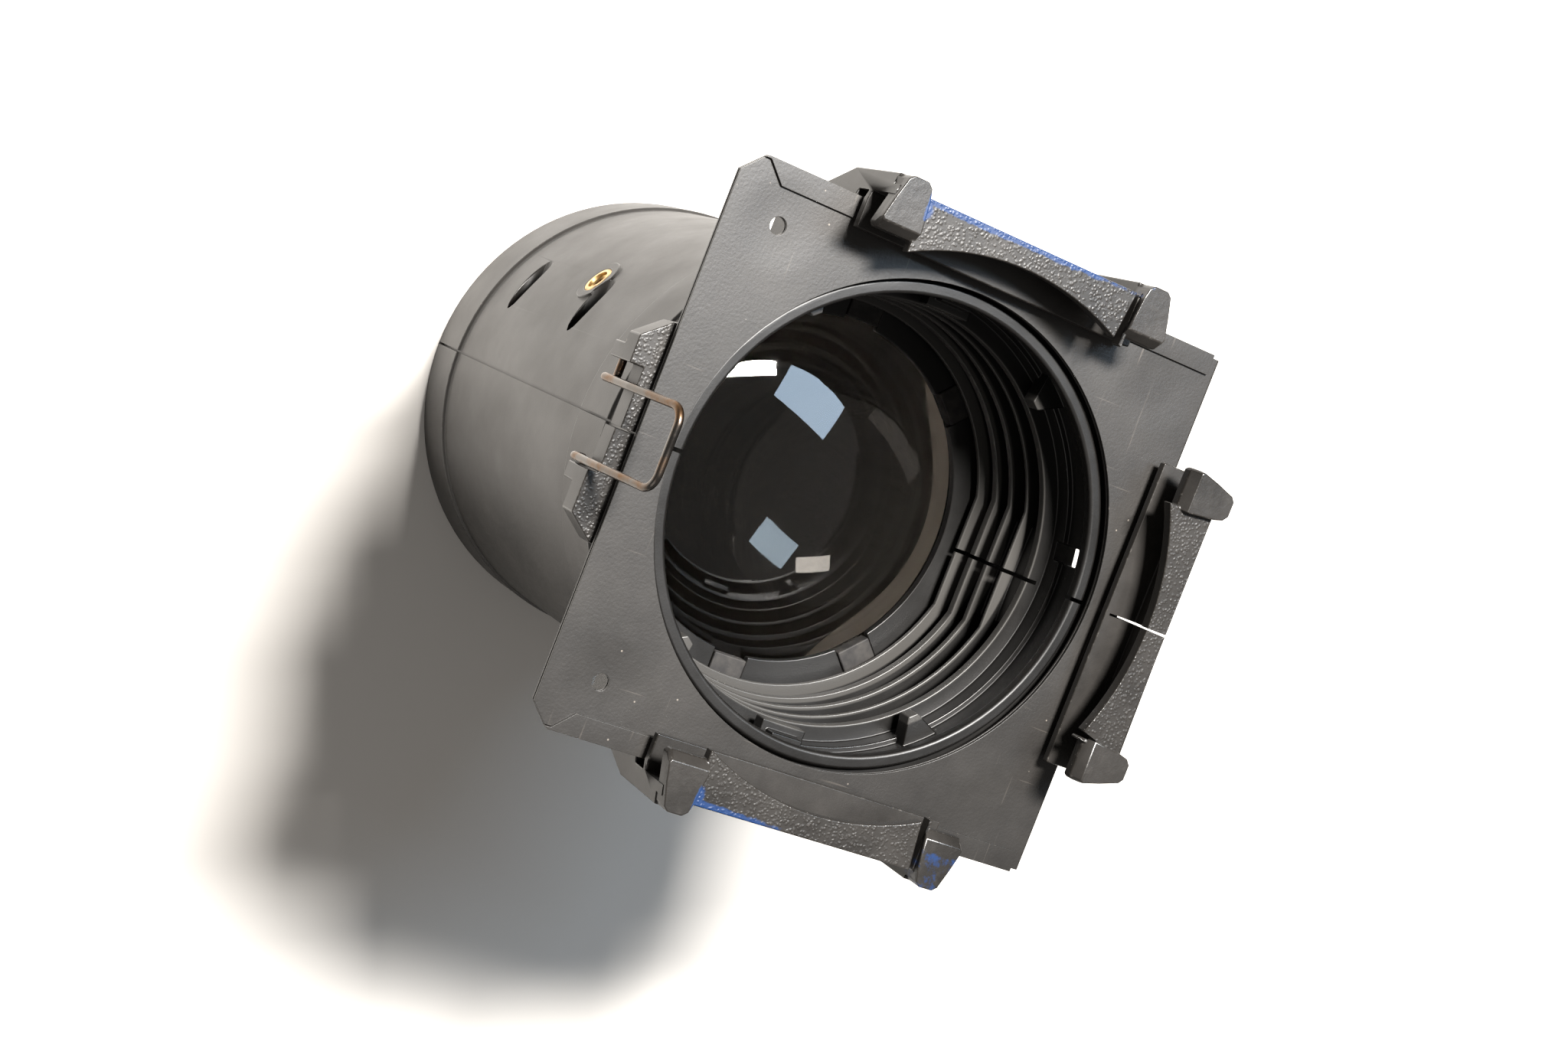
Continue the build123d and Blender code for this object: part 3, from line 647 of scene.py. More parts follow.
# %% Material: painted sheet
def sheet_paint(name, wear):
    """Satin black spray paint on folded sheet: wear, from 0 to 1, lightens and smooths it."""
    material = bpy.data.materials.new(name)
    material.use_nodes = True
    tree = material.node_tree
    tree.nodes.clear()

    dust_frame = tree.nodes.new("NodeFrame")
    dust_frame.label = "Dust"
    scuff_frame = tree.nodes.new("NodeFrame")
    scuff_frame.label = "Scuffs along the slot"
    dent_frame = tree.nodes.new("NodeFrame")
    dent_frame.label = "Dents at the open corners"
    paint_frame = tree.nodes.new("NodeFrame")
    paint_frame.label = "Paint"

    coords = tree.nodes.new("ShaderNodeTexCoord")
    coords.label = "Object coordinates"

    clouds = tree.nodes.new("ShaderNodeTexNoise")
    clouds.label = "Handling marks"
    clouds.parent = paint_frame
    clouds.inputs["Scale"].default_value = 30
    clouds.inputs["Detail"].default_value = 8
    clouds.inputs["Roughness"].default_value = 0.62
    tree.links.new(coords.outputs["Object"], clouds.inputs["Vector"])
    paint = tree.nodes.new("ShaderNodeValToRGB")
    paint.label = "Black to dusty black"
    paint.parent = paint_frame
    paint.color_ramp.elements[0].position = 0.32
    paint.color_ramp.elements[0].color = (0.010, 0.009, 0.008, 1)
    paint.color_ramp.elements[1].position = 0.72
    paint.color_ramp.elements[1].color = (0.018, 0.016, 0.014, 1)
    tree.links.new(clouds.outputs["Fac"], paint.inputs["Fac"])

    # Specks: small dots, one in a few of the cells.
    cells = tree.nodes.new("ShaderNodeTexVoronoi")
    cells.label = "One speck in each cell"
    cells.parent = dust_frame
    cells.inputs["Scale"].default_value = 260
    tree.links.new(coords.outputs["Object"], cells.inputs["Vector"])
    dot = tree.nodes.new("ShaderNodeMapRange")
    dot.label = "A speck's size"
    dot.parent = dust_frame
    dot.inputs["From Min"].default_value = 0.085
    dot.inputs["From Max"].default_value = 0.045
    tree.links.new(cells.outputs["Distance"], dot.inputs["Value"])
    lot = tree.nodes.new("ShaderNodeSeparateColor")
    lot.label = "A number for each cell"
    lot.parent = dust_frame
    tree.links.new(cells.outputs["Color"], lot.inputs["Color"])
    chosen = tree.nodes.new("ShaderNodeMath")
    chosen.label = "Keep one in six"
    chosen.parent = dust_frame
    chosen.operation = "GREATER_THAN"
    chosen.inputs[1].default_value = 0.84
    tree.links.new(lot.outputs["Red"], chosen.inputs[0])
    speck = tree.nodes.new("ShaderNodeMath")
    speck.label = "Speck"
    speck.parent = dust_frame
    speck.operation = "MULTIPLY"
    tree.links.new(dot.outputs["Result"], speck.inputs[0])
    tree.links.new(chosen.outputs["Value"], speck.inputs[1])

    # Scuffs: noise stretched along the way the frame slides, and a few crossing hairlines.
    along = tree.nodes.new("ShaderNodeMapping")
    along.label = "Stretched along the slide"
    along.parent = scuff_frame
    along.inputs["Scale"].default_value = (1.0, 0.05, 1.0)
    along.inputs["Rotation"].default_value = (0, 0, 0.16)
    tree.links.new(coords.outputs["Object"], along.inputs["Vector"])
    streaks = tree.nodes.new("ShaderNodeTexNoise")
    streaks.label = "Hairlines along"
    streaks.parent = scuff_frame
    streaks.inputs["Scale"].default_value = 640
    streaks.inputs["Detail"].default_value = 2
    tree.links.new(along.outputs["Vector"], streaks.inputs["Vector"])
    across = tree.nodes.new("ShaderNodeMapping")
    across.label = "Stretched the other way"
    across.parent = scuff_frame
    across.inputs["Scale"].default_value = (0.05, 1.0, 1.0)
    across.inputs["Rotation"].default_value = (0, 0, -0.5)
    tree.links.new(coords.outputs["Object"], across.inputs["Vector"])
    crossing = tree.nodes.new("ShaderNodeTexNoise")
    crossing.label = "Hairlines across"
    crossing.parent = scuff_frame
    crossing.inputs["Scale"].default_value = 520
    crossing.inputs["Detail"].default_value = 2
    tree.links.new(across.outputs["Vector"], crossing.inputs["Vector"])
    both = tree.nodes.new("ShaderNodeMath")
    both.label = "Either hairline"
    both.parent = scuff_frame
    both.operation = "MAXIMUM"
    tree.links.new(streaks.outputs["Fac"], both.inputs[0])
    tree.links.new(crossing.outputs["Fac"], both.inputs[1])
    scuff = tree.nodes.new("ShaderNodeMapRange")
    scuff.label = "Only the sharpest"
    scuff.parent = scuff_frame
    scuff.inputs["From Min"].default_value = 0.70
    scuff.inputs["From Max"].default_value = 0.84
    scuff.inputs["To Max"].default_value = 0.45
    tree.links.new(both.outputs["Value"], scuff.inputs["Value"])

    marked = tree.nodes.new("ShaderNodeMath")
    marked.label = "Scuff or speck"
    marked.parent = paint_frame
    marked.operation = "MAXIMUM"
    tree.links.new(scuff.outputs["Result"], marked.inputs[0])
    tree.links.new(speck.outputs["Value"], marked.inputs[1])
    chips = tree.nodes.new("ShaderNodeTexNoise")
    chips.label = "Chips along the edges"
    chips.parent = paint_frame
    chips.inputs["Scale"].default_value = 480
    chips.inputs["Detail"].default_value = 5
    chips.inputs["Roughness"].default_value = 0.7
    tree.links.new(coords.outputs["Object"], chips.inputs["Vector"])
    chipped = tree.nodes.new("ShaderNodeMapRange")
    chipped.label = "Amount of wear"
    chipped.parent = paint_frame
    chipped.inputs["From Min"].default_value = 0.84 - 0.44 * wear
    chipped.inputs["From Max"].default_value = 0.96 - 0.44 * wear
    chipped.inputs["To Max"].default_value = wear
    tree.links.new(chips.outputs["Fac"], chipped.inputs["Value"])
    light_marks = tree.nodes.new("ShaderNodeMath")
    light_marks.label = "All light marks"
    light_marks.parent = paint_frame
    light_marks.operation = "MAXIMUM"
    tree.links.new(marked.outputs["Value"], light_marks.inputs[0])
    tree.links.new(chipped.outputs["Result"], light_marks.inputs[1])
    surface_colour = tree.nodes.new("ShaderNodeMix")
    surface_colour.label = "Marks are warm grey"
    surface_colour.parent = paint_frame
    surface_colour.data_type = "RGBA"
    surface_colour.inputs["B"].default_value = (0.16, 0.14, 0.12, 1)
    tree.links.new(light_marks.outputs["Value"], surface_colour.inputs["Factor"])
    tree.links.new(paint.outputs["Color"], surface_colour.inputs["A"])

    # Dents: a dip a little way in from each corner. The two at -Y are under the rails.
    mirrored = tree.nodes.new("ShaderNodeVectorMath")
    mirrored.label = "Every corner alike"
    mirrored.parent = dent_frame
    mirrored.operation = "ABSOLUTE"
    tree.links.new(coords.outputs["Object"], mirrored.inputs[0])
    from_corner = tree.nodes.new("ShaderNodeVectorMath")
    from_corner.label = "Distance from the dent"
    from_corner.parent = dent_frame
    from_corner.operation = "DISTANCE"
    from_corner.inputs[1].default_value = (64 * MM, 63 * MM, FACE)
    tree.links.new(mirrored.outputs["Vector"], from_corner.inputs[0])
    dent = tree.nodes.new("ShaderNodeMapRange")
    dent.label = "Dent"
    dent.parent = dent_frame
    dent.interpolation_type = "SMOOTHSTEP"
    dent.inputs["From Min"].default_value = 14 * MM
    dent.inputs["From Max"].default_value = 3 * MM
    tree.links.new(from_corner.outputs["Value"], dent.inputs["Value"])
    waviness = tree.nodes.new("ShaderNodeTexNoise")
    waviness.label = "Slow waves of thin sheet"
    waviness.parent = dent_frame
    waviness.inputs["Scale"].default_value = 22
    waviness.inputs["Detail"].default_value = 1
    tree.links.new(coords.outputs["Object"], waviness.inputs["Vector"])
    bent_sheet = tree.nodes.new("ShaderNodeMath")
    bent_sheet.label = "Dent and waves"
    bent_sheet.parent = dent_frame
    bent_sheet.operation = "ADD"
    tree.links.new(dent.outputs["Result"], bent_sheet.inputs[0])
    tree.links.new(waviness.outputs["Fac"], bent_sheet.inputs[1])
    wave_bump = tree.nodes.new("ShaderNodeBump")
    wave_bump.label = "Sheet isn't quite flat"
    wave_bump.parent = dent_frame
    wave_bump.invert = True
    wave_bump.inputs["Strength"].default_value = 0.9
    wave_bump.inputs["Distance"].default_value = 0.22 * MM
    tree.links.new(bent_sheet.outputs["Value"], wave_bump.inputs["Height"])
    peel = tree.nodes.new("ShaderNodeTexNoise")
    peel.label = "Sprayed orange peel"
    peel.parent = paint_frame
    peel.inputs["Scale"].default_value = 1300
    peel.inputs["Detail"].default_value = 4
    tree.links.new(coords.outputs["Object"], peel.inputs["Vector"])
    peel_bump = tree.nodes.new("ShaderNodeBump")
    peel_bump.label = "Fine peel"
    peel_bump.parent = paint_frame
    peel_bump.inputs["Strength"].default_value = 0.8
    peel_bump.inputs["Distance"].default_value = 0.05 * MM
    tree.links.new(peel.outputs["Fac"], peel_bump.inputs["Height"])
    tree.links.new(wave_bump.outputs["Normal"], peel_bump.inputs["Normal"])

    gloss = tree.nodes.new("ShaderNodeMapRange")
    gloss.label = "Satin, uneven from handling"
    gloss.parent = paint_frame
    gloss.inputs["From Min"].default_value = 0.3
    gloss.inputs["From Max"].default_value = 0.7
    gloss.inputs["To Min"].default_value = 0.42 - 0.1 * wear
    gloss.inputs["To Max"].default_value = 0.50 - 0.1 * wear
    tree.links.new(clouds.outputs["Fac"], gloss.inputs["Value"])

    shader = tree.nodes.new("ShaderNodeBsdfPrincipled")
    shader.label = "Satin spray paint"
    shader.inputs["Specular IOR Level"].default_value = 0.6
    tree.links.new(surface_colour.outputs["Result"], shader.inputs["Base Color"])
    tree.links.new(gloss.outputs["Result"], shader.inputs["Roughness"])
    tree.links.new(peel_bump.outputs["Normal"], shader.inputs["Normal"])
    output = tree.nodes.new("ShaderNodeOutputMaterial")
    output.label = "Surface"
    tree.links.new(shader.outputs["BSDF"], output.inputs["Surface"])
    spread_out(tree)
    return material


frame_black = sheet_paint("frame_black", 0.1)
frame_black_edge = sheet_paint("frame_black_edge", 0.55)
print("paint nodes on the sheet:", len(frame_black.node_tree.nodes))

# %% [markdown]
# ## Bare metals
#
# The wire clip is nickelled spring wire, gone bronze where it was bent and rubbed bright along its
# front. The screws are zinc-plated steel and the focus insert is brass. All three are turned or
# drawn metal with stains, so one function makes them from two colours, a roughness and the size of
# the stains.

# %% Material: drawn or turned metal
def stained_metal(name, clean, stained, roughness, stain_size):
    """Metal of two colours: clean, and stained in patches of a given size in metres."""
    material = bpy.data.materials.new(name)
    material.use_nodes = True
    tree = material.node_tree
    tree.nodes.clear()

    stain_frame = tree.nodes.new("NodeFrame")
    stain_frame.label = "Stains"
    finish_frame = tree.nodes.new("NodeFrame")
    finish_frame.label = "Drawing and turning marks"

    coords = tree.nodes.new("ShaderNodeTexCoord")
    coords.label = "Object coordinates"
    patches = tree.nodes.new("ShaderNodeTexNoise")
    patches.label = "Stained patches"
    patches.parent = stain_frame
    patches.inputs["Scale"].default_value = 1 / stain_size
    patches.inputs["Detail"].default_value = 5
    patches.inputs["Roughness"].default_value = 0.6
    tree.links.new(coords.outputs["Object"], patches.inputs["Vector"])
    colours = tree.nodes.new("ShaderNodeValToRGB")
    colours.label = "Clean to stained"
    colours.parent = stain_frame
    colours.color_ramp.elements[0].position = 0.42
    colours.color_ramp.elements[0].color = (*clean, 1)
    colours.color_ramp.elements[1].position = 0.66
    colours.color_ramp.elements[1].color = (*stained, 1)
    tree.links.new(patches.outputs["Fac"], colours.inputs["Fac"])
    dullness = tree.nodes.new("ShaderNodeMapRange")
    dullness.label = "Stains are duller"
    dullness.parent = stain_frame
    dullness.inputs["From Min"].default_value = 0.35
    dullness.inputs["From Max"].default_value = 0.7
    dullness.inputs["To Min"].default_value = roughness
    dullness.inputs["To Max"].default_value = roughness + 0.22
    tree.links.new(patches.outputs["Fac"], dullness.inputs["Value"])
    marks = tree.nodes.new("ShaderNodeTexNoise")
    marks.label = "Fine marks"
    marks.parent = finish_frame
    marks.inputs["Scale"].default_value = 2600
    marks.inputs["Detail"].default_value = 3
    tree.links.new(coords.outputs["Object"], marks.inputs["Vector"])
    mark_bump = tree.nodes.new("ShaderNodeBump")
    mark_bump.label = "Marks, a fiftieth of a millimetre"
    mark_bump.parent = finish_frame
    mark_bump.inputs["Strength"].default_value = 0.5
    mark_bump.inputs["Distance"].default_value = 0.02 * MM
    tree.links.new(marks.outputs["Fac"], mark_bump.inputs["Height"])

    shader = tree.nodes.new("ShaderNodeBsdfPrincipled")
    shader.label = "Metal"
    shader.inputs["Metallic"].default_value = 1.0
    tree.links.new(colours.outputs["Color"], shader.inputs["Base Color"])
    tree.links.new(dullness.outputs["Result"], shader.inputs["Roughness"])
    tree.links.new(mark_bump.outputs["Normal"], shader.inputs["Normal"])
    output = tree.nodes.new("ShaderNodeOutputMaterial")
    output.label = "Surface"
    tree.links.new(shader.outputs["BSDF"], output.inputs["Surface"])
    spread_out(tree)
    return material


clip_wire = stained_metal("clip_wire", (0.13, 0.12, 0.11), (0.13, 0.075, 0.04), 0.17, 6 * MM)
screw_steel = stained_metal("screw_steel", (0.55, 0.56, 0.54), (0.34, 0.30, 0.22), 0.28, 3 * MM)
insert_brass = stained_metal("insert_brass", (0.66, 0.46, 0.20), (0.34, 0.22, 0.11), 0.3, 3 * MM)
print("metals:", clip_wire.name, screw_steel.name, insert_brass.name)

# %% [markdown]
# ## Glass
#
# The lens is clear glass with a thin film of dust, which scatters light where it is thickest, and
# a ground edge that looks frosted. Both only raise the roughness, so the glass stays one shader.
# Its colour is darkened, a painted shade that stands for the dark inside of the tube behind it.

# %% Material: lens glass
lens_glass = bpy.data.materials.new("lens_glass")
lens_glass.use_nodes = True
glass_tree = lens_glass.node_tree
glass_tree.nodes.clear()
film_frame = glass_tree.nodes.new("NodeFrame")
film_frame.label = "Film of dust"
edge_frame = glass_tree.nodes.new("NodeFrame")
edge_frame.label = "Ground edge"

glass_coords = glass_tree.nodes.new("ShaderNodeTexCoord")
glass_coords.label = "Object coordinates"
film = glass_tree.nodes.new("ShaderNodeTexNoise")
film.label = "Dust in patches"
film.parent = film_frame
film.inputs["Scale"].default_value = 60
film.inputs["Detail"].default_value = 9
film.inputs["Roughness"].default_value = 0.7
glass_tree.links.new(glass_coords.outputs["Object"], film.inputs["Vector"])
smear = glass_tree.nodes.new("ShaderNodeMapRange")
smear.label = "How dull the film makes it"
smear.parent = film_frame
smear.inputs["From Min"].default_value = 0.45
smear.inputs["From Max"].default_value = 0.75
smear.inputs["To Min"].default_value = 0.0
smear.inputs["To Max"].default_value = 0.07
glass_tree.links.new(film.outputs["Fac"], smear.inputs["Value"])
glass_axis = glass_tree.nodes.new("ShaderNodeSeparateXYZ")
glass_axis.label = "Place on the lens"
glass_axis.parent = edge_frame
glass_tree.links.new(glass_coords.outputs["Object"], glass_axis.inputs["Vector"])
across_lens = glass_tree.nodes.new("ShaderNodeCombineXYZ")
across_lens.label = "Without the height"
across_lens.parent = edge_frame
glass_tree.links.new(glass_axis.outputs["X"], across_lens.inputs["X"])
glass_tree.links.new(glass_axis.outputs["Y"], across_lens.inputs["Y"])
lens_radius = glass_tree.nodes.new("ShaderNodeVectorMath")
lens_radius.label = "Radius"
lens_radius.parent = edge_frame
lens_radius.operation = "LENGTH"
glass_tree.links.new(across_lens.outputs["Vector"], lens_radius.inputs[0])
ground = glass_tree.nodes.new("ShaderNodeMapRange")
ground.label = "Ground beyond the clear part"
ground.parent = edge_frame
ground.inputs["From Min"].default_value = 56.2 * MM
ground.inputs["From Max"].default_value = 56.8 * MM
ground.inputs["To Max"].default_value = 0.5
glass_tree.links.new(lens_radius.outputs["Value"], ground.inputs["Value"])
glass_gloss = glass_tree.nodes.new("ShaderNodeMath")
glass_gloss.label = "Film or ground"
glass_gloss.parent = edge_frame
glass_gloss.operation = "MAXIMUM"
glass_tree.links.new(smear.outputs["Result"], glass_gloss.inputs[0])
glass_tree.links.new(ground.outputs["Result"], glass_gloss.inputs[1])
glass_shader = glass_tree.nodes.new("ShaderNodeBsdfPrincipled")
glass_shader.label = "Glass darkened with painted shade"
# Painted shade: a dark base colour dims what is seen through the lens.
glass_shader.inputs["Base Color"].default_value = (0.80, 0.76, 0.71, 1)
glass_shader.inputs["Transmission Weight"].default_value = 1.0
glass_shader.inputs["IOR"].default_value = 1.52
glass_tree.links.new(glass_gloss.outputs["Value"], glass_shader.inputs["Roughness"])
glass_output = glass_tree.nodes.new("ShaderNodeOutputMaterial")
glass_output.label = "Surface"
glass_tree.links.new(glass_shader.outputs["BSDF"], glass_output.inputs["Surface"])
spread_out(glass_tree)
print("glass nodes:", len(glass_tree.nodes))

# %% [markdown]
# ## Silicone
#
# The pads round the lens are black silicone rubber: matt, soft at the edges and dusty. Dust is a
# noise that lightens the colour, and a finer noise gives the moulded skin.

# %% Material: silicone
silicone = bpy.data.materials.new("silicone")
silicone.use_nodes = True
rubber_tree = silicone.node_tree
rubber_tree.nodes.clear()
rubber_frame = rubber_tree.nodes.new("NodeFrame")
rubber_frame.label = "Dusty rubber"

rubber_coords = rubber_tree.nodes.new("ShaderNodeTexCoord")
rubber_coords.label = "Object coordinates"
rubber_dust = rubber_tree.nodes.new("ShaderNodeTexNoise")
rubber_dust.label = "Dust"
rubber_dust.parent = rubber_frame
rubber_dust.inputs["Scale"].default_value = 300
rubber_dust.inputs["Detail"].default_value = 6
rubber_tree.links.new(rubber_coords.outputs["Object"], rubber_dust.inputs["Vector"])
rubber_colour = rubber_tree.nodes.new("ShaderNodeValToRGB")
rubber_colour.label = "Black to grey with dust"
rubber_colour.parent = rubber_frame
rubber_colour.color_ramp.elements[0].position = 0.4
rubber_colour.color_ramp.elements[0].color = (0.008, 0.007, 0.007, 1)
rubber_colour.color_ramp.elements[1].position = 0.75
rubber_colour.color_ramp.elements[1].color = (0.030, 0.027, 0.024, 1)
rubber_tree.links.new(rubber_dust.outputs["Fac"], rubber_colour.inputs["Fac"])
rubber_skin = rubber_tree.nodes.new("ShaderNodeTexNoise")
rubber_skin.label = "Moulded skin"
rubber_skin.parent = rubber_frame
rubber_skin.inputs["Scale"].default_value = 1600
rubber_skin.inputs["Detail"].default_value = 2
rubber_tree.links.new(rubber_coords.outputs["Object"], rubber_skin.inputs["Vector"])
rubber_bump = rubber_tree.nodes.new("ShaderNodeBump")
rubber_bump.label = "Skin"
rubber_bump.parent = rubber_frame
rubber_bump.inputs["Strength"].default_value = 0.6
rubber_bump.inputs["Distance"].default_value = 0.04 * MM
rubber_tree.links.new(rubber_skin.outputs["Fac"], rubber_bump.inputs["Height"])
rubber_shader = rubber_tree.nodes.new("ShaderNodeBsdfPrincipled")
rubber_shader.label = "Matt rubber"
rubber_shader.inputs["Roughness"].default_value = 0.68
rubber_tree.links.new(rubber_colour.outputs["Color"], rubber_shader.inputs["Base Color"])
rubber_tree.links.new(rubber_bump.outputs["Normal"], rubber_shader.inputs["Normal"])
rubber_output = rubber_tree.nodes.new("ShaderNodeOutputMaterial")
rubber_output.label = "Surface"
rubber_tree.links.new(rubber_shader.outputs["BSDF"], rubber_output.inputs["Surface"])
spread_out(rubber_tree)
print("rubber nodes:", len(rubber_tree.nodes))

# %% [markdown]
# ## Rounded edges
#
# No edge of a casting is sharp, and even folded sheet has a small round that catches the light.
# The CAD parts have sharp edges, because that is how they are measured. A Bevel modifier on a
# merged copy rounds them. It is steered by edge weights, because an edge with a neighbour
# shorter than the rounding would cross itself, and so would the narrow steps along the seam.
# Those stay sharp. A point that the rounding throws too far, or outside the part's own box, goes
# back to the surface. The rounded faces take a second, more worn paint, except in inner corners.

# %% Helpers: apply a stack, and soften a CAD part
MERGE = 0.002 * MM
FLAT_WITHIN, SHARP_PAST = math.radians(0.6), math.radians(35)
ROOM, REACH = 1.2, 0.8  # an edge's least length and a point's greatest shift, in widths
PROUD = 0.01  # how far off the CAD surface counts as an inner corner's fillet, in widths
BOX_SLACK = 0.01 * MM


def apply_stack(piece):
    """Turn a piece's modifiers into plain mesh, and drop the stack."""
    graph = bpy.context.evaluated_depsgraph_get()
    finished = bpy.data.meshes.new_from_object(piece.evaluated_get(graph))
    piece.modifiers.clear()
    piece.data = finished


def softened(name, width, segments, paints, body, seam=0.0):
    """A copy of a CAD part with its edges rounded, standing for that part."""
    mesh = nodes[name].data.copy()
    shape = bmesh.new()
    shape.from_mesh(mesh)
    bmesh.ops.remove_doubles(shape, verts=shape.verts, dist=MERGE)
    original = BVHTree.FromBMesh(shape)
    bmesh.ops.dissolve_limit(shape, angle_limit=FLAT_WITHIN, verts=shape.verts, edges=shape.edges)
    weight = shape.edges.layers.float.new("bevel_weight_edge")
    sharp = {edge for edge in shape.edges if edge.calc_face_angle(0) > SHARP_PAST}
    for edge in sharp:
        on_seam = all(abs(corner.co.x) < seam for corner in edge.verts)
        neighbours = {other for corner in edge.verts for other in corner.link_edges if other in sharp}
        roomy = min(other.calc_length() for other in neighbours) > ROOM * width
        edge[weight] = float(roomy and not on_seam)
        edge.smooth = bool(edge[weight])
    shape.to_mesh(mesh)
    shape.free()
    mesh.materials.clear()
    for paint in paints:
        mesh.materials.append(paint)
    piece = bpy.data.objects.new(name + "_rounded", mesh)
    bpy.context.scene.collection.objects.link(piece)
    bevel = piece.modifiers.new("rounded edges", "BEVEL")
    bevel.width = width
    bevel.segments = segments
    bevel.limit_method = "WEIGHT"
    bevel.use_clamp_overlap = False
    bevel.miter_outer = "MITER_ARC"
    bevel.material = len(paints) - 1
    apply_stack(piece)

    put_back = 0
    low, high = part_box(name)
    for vertex in piece.data.vertices:
        place, _, _, distance = original.find_nearest(vertex.co)
        beyond = any(c < a - BOX_SLACK or c > b + BOX_SLACK for c, a, b in zip(vertex.co, low, high))
        if beyond or distance > REACH * width:
            vertex.co = place
            put_back += 1
    for face in piece.data.polygons:
        face.use_smooth = True
        if face.material_index:
            place, direction, _, _ = original.find_nearest(face.center)
            if (face.center - place).dot(direction) > PROUD * width:
                face.material_index = 0
    shading = piece.modifiers.new("flat faces stay flat", "WEIGHTED_NORMAL")
    shading.weight = 90
    shading.keep_sharp = True
    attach(piece, body)
    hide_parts(name)
    print(name, "faces:", len(piece.data.polygons), "points put back:", put_back)
    return piece


print("edges sharper than", round(math.degrees(SHARP_PAST)), "degrees get rounded")

# %% [markdown]
# The casting has rounds of nearly half a millimetre, as a mould does, and a gap along its seam that
# has to stay crisp. The folded sheet has only an eighth of a millimetre, and the rubber pads half.

# %% The casting, the colour frame and the lens pads
casting = (cast_black, cast_black_edge)
for half in ("tube_half_left", "tube_half_right"):
    softened(half, 0.4 * MM, 2, casting, "tube", seam=0.9 * MM)
softened("gel_frame", 0.12 * MM, 2, (frame_black, frame_black_edge), "frame")
for number in range(1, 7):
    softened("lens_pad_%d" % number, 0.5 * MM, 3, (silicone,), "tube")

# %% [markdown]
# ## The wire clip
#
# One length of 2.3 mm spring wire is bent six ways: two feet that turn in the lugs, two legs that
# come forward in front of the colour frame's open edge, and a bar across. A Bezier curve with a
# round bevel is the plainest way to bent wire. Each bend gets two points, where the straight runs
# end, with handles that point at the corner, so the curve between them is very nearly an arc.

# %% Wire clip from a Bezier curve
WIRE_RADIUS = 1.15
ARM_X, PIVOT_Y, PIVOT_Z = 11.0, 83.0, -19.0
RIGHT_FOOT, LEFT_FOOT = 22.3, -18.2
leg = [(PIVOT_Y, PIVOT_Z), (88.0, -15.0), (86.0, 0.0), (80.0, 24.0)]
bend_radii = [1.8, 2.4, 6.0, 4.5, 4.5, 6.0, 2.4, 1.8]
bends = [Vector((ARM_X, y, z)) for y, z in leg] + [Vector((-ARM_X, y, z)) for y, z in reversed(leg)]
wire_ends = [Vector((RIGHT_FOOT, PIVOT_Y, PIVOT_Z)), Vector((LEFT_FOOT, PIVOT_Y, PIVOT_Z))]
corners = [wire_ends[0]] + bends + [wire_ends[1]]

wire = bpy.data.curves.new("retaining_clip_wire", "CURVE")
wire.dimensions = "3D"
wire.bevel_depth = WIRE_RADIUS * MM
wire.bevel_resolution = 5
wire.resolution_u = 10
wire.use_fill_caps = True
line = wire.splines.new("BEZIER")
line.bezier_points.add(2 * len(bends) + 1)
lift = Vector((0, 0, FACE))
SHORT = 0.5  # a handle along a straight run, in millimetres


def set_point(index, place, towards_last, towards_next):
    """Place one Bezier point and its two handles, given in millimetres from the frame's face."""
    point = line.bezier_points[index]
    point.co = place * MM + lift
    point.handle_left = (place + towards_last) * MM + lift
    point.handle_right = (place + towards_next) * MM + lift


for number, (radius, corner) in enumerate(zip(bend_radii, bends)):
    before = (corners[number] - corner).normalized()
    after = (corners[number + 2] - corner).normalized()
    turn = math.pi - before.angle(after)
    run_in = radius * math.tan(turn / 2)
    handle = 4 / 3 * math.tan(turn / 4) * radius
    set_point(2 * number + 1, corner + before * run_in, before * SHORT, -before * handle)
    set_point(2 * number + 2, corner + after * run_in, -after * handle, after * SHORT)
inward = (corners[1] - corners[0]).normalized()
set_point(0, corners[0], -inward * SHORT, inward * SHORT)
set_point(len(line.bezier_points) - 1, corners[-1], inward * -SHORT, inward * SHORT)

clip = bpy.data.objects.new("retaining_clip_wire", wire)
bpy.context.scene.collection.objects.link(clip)
wire_mesh = bpy.data.meshes.new_from_object(clip)
bpy.data.objects.remove(clip)
clip = bpy.data.objects.new("retaining_clip_wire", wire_mesh)
bpy.context.scene.collection.objects.link(clip)
clip.data.materials.clear()
clip.data.materials.append(clip_wire)
for face in clip.data.polygons:
    face.use_smooth = len(face.vertices) <= 4
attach(clip, "clip")
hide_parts("retaining_clip")
low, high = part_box("retaining_clip")
print("CAD clip's size in mm:", [round(v / MM, 2) for v in high - low])
print("wire clip faces:", len(clip.data.polygons))

# %% [markdown]
# ## The lens
#
# The lens is curved on both faces. It is a turned shape, so the Screw modifier makes it from half
# its cross-section: over the front face from the middle outwards, down the ground edge with its
# two small chamfers, and back to the middle along the rear face.

# %% Lens from a profile
LENS_LOW, LENS_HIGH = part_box("lens")
FRONT_BALL, REAR_BALL = 142.0 * MM, 150.0 * MM
GLASS_R, CHAMFER = LENS_HIGH.x, 0.4 * MM
LENS_RINGS = 40


def cap_height(ball, radius):
    """How far a ball's surface has dropped below its top at a radius."""
    return ball - math.sqrt(ball**2 - radius**2)


profile = []
for step in range(LENS_RINGS + 1):
    radius = (GLASS_R - CHAMFER) * step / LENS_RINGS
    profile.append((radius, LENS_HIGH.z - cap_height(FRONT_BALL, radius)))
profile.append((GLASS_R, LENS_HIGH.z - cap_height(FRONT_BALL, GLASS_R) - CHAMFER))
profile.append((GLASS_R, LENS_LOW.z + cap_height(REAR_BALL, GLASS_R) + CHAMFER))
for step in range(LENS_RINGS, -1, -1):
    radius = (GLASS_R - CHAMFER) * step / LENS_RINGS
    profile.append((radius, LENS_LOW.z + cap_height(REAR_BALL, radius)))


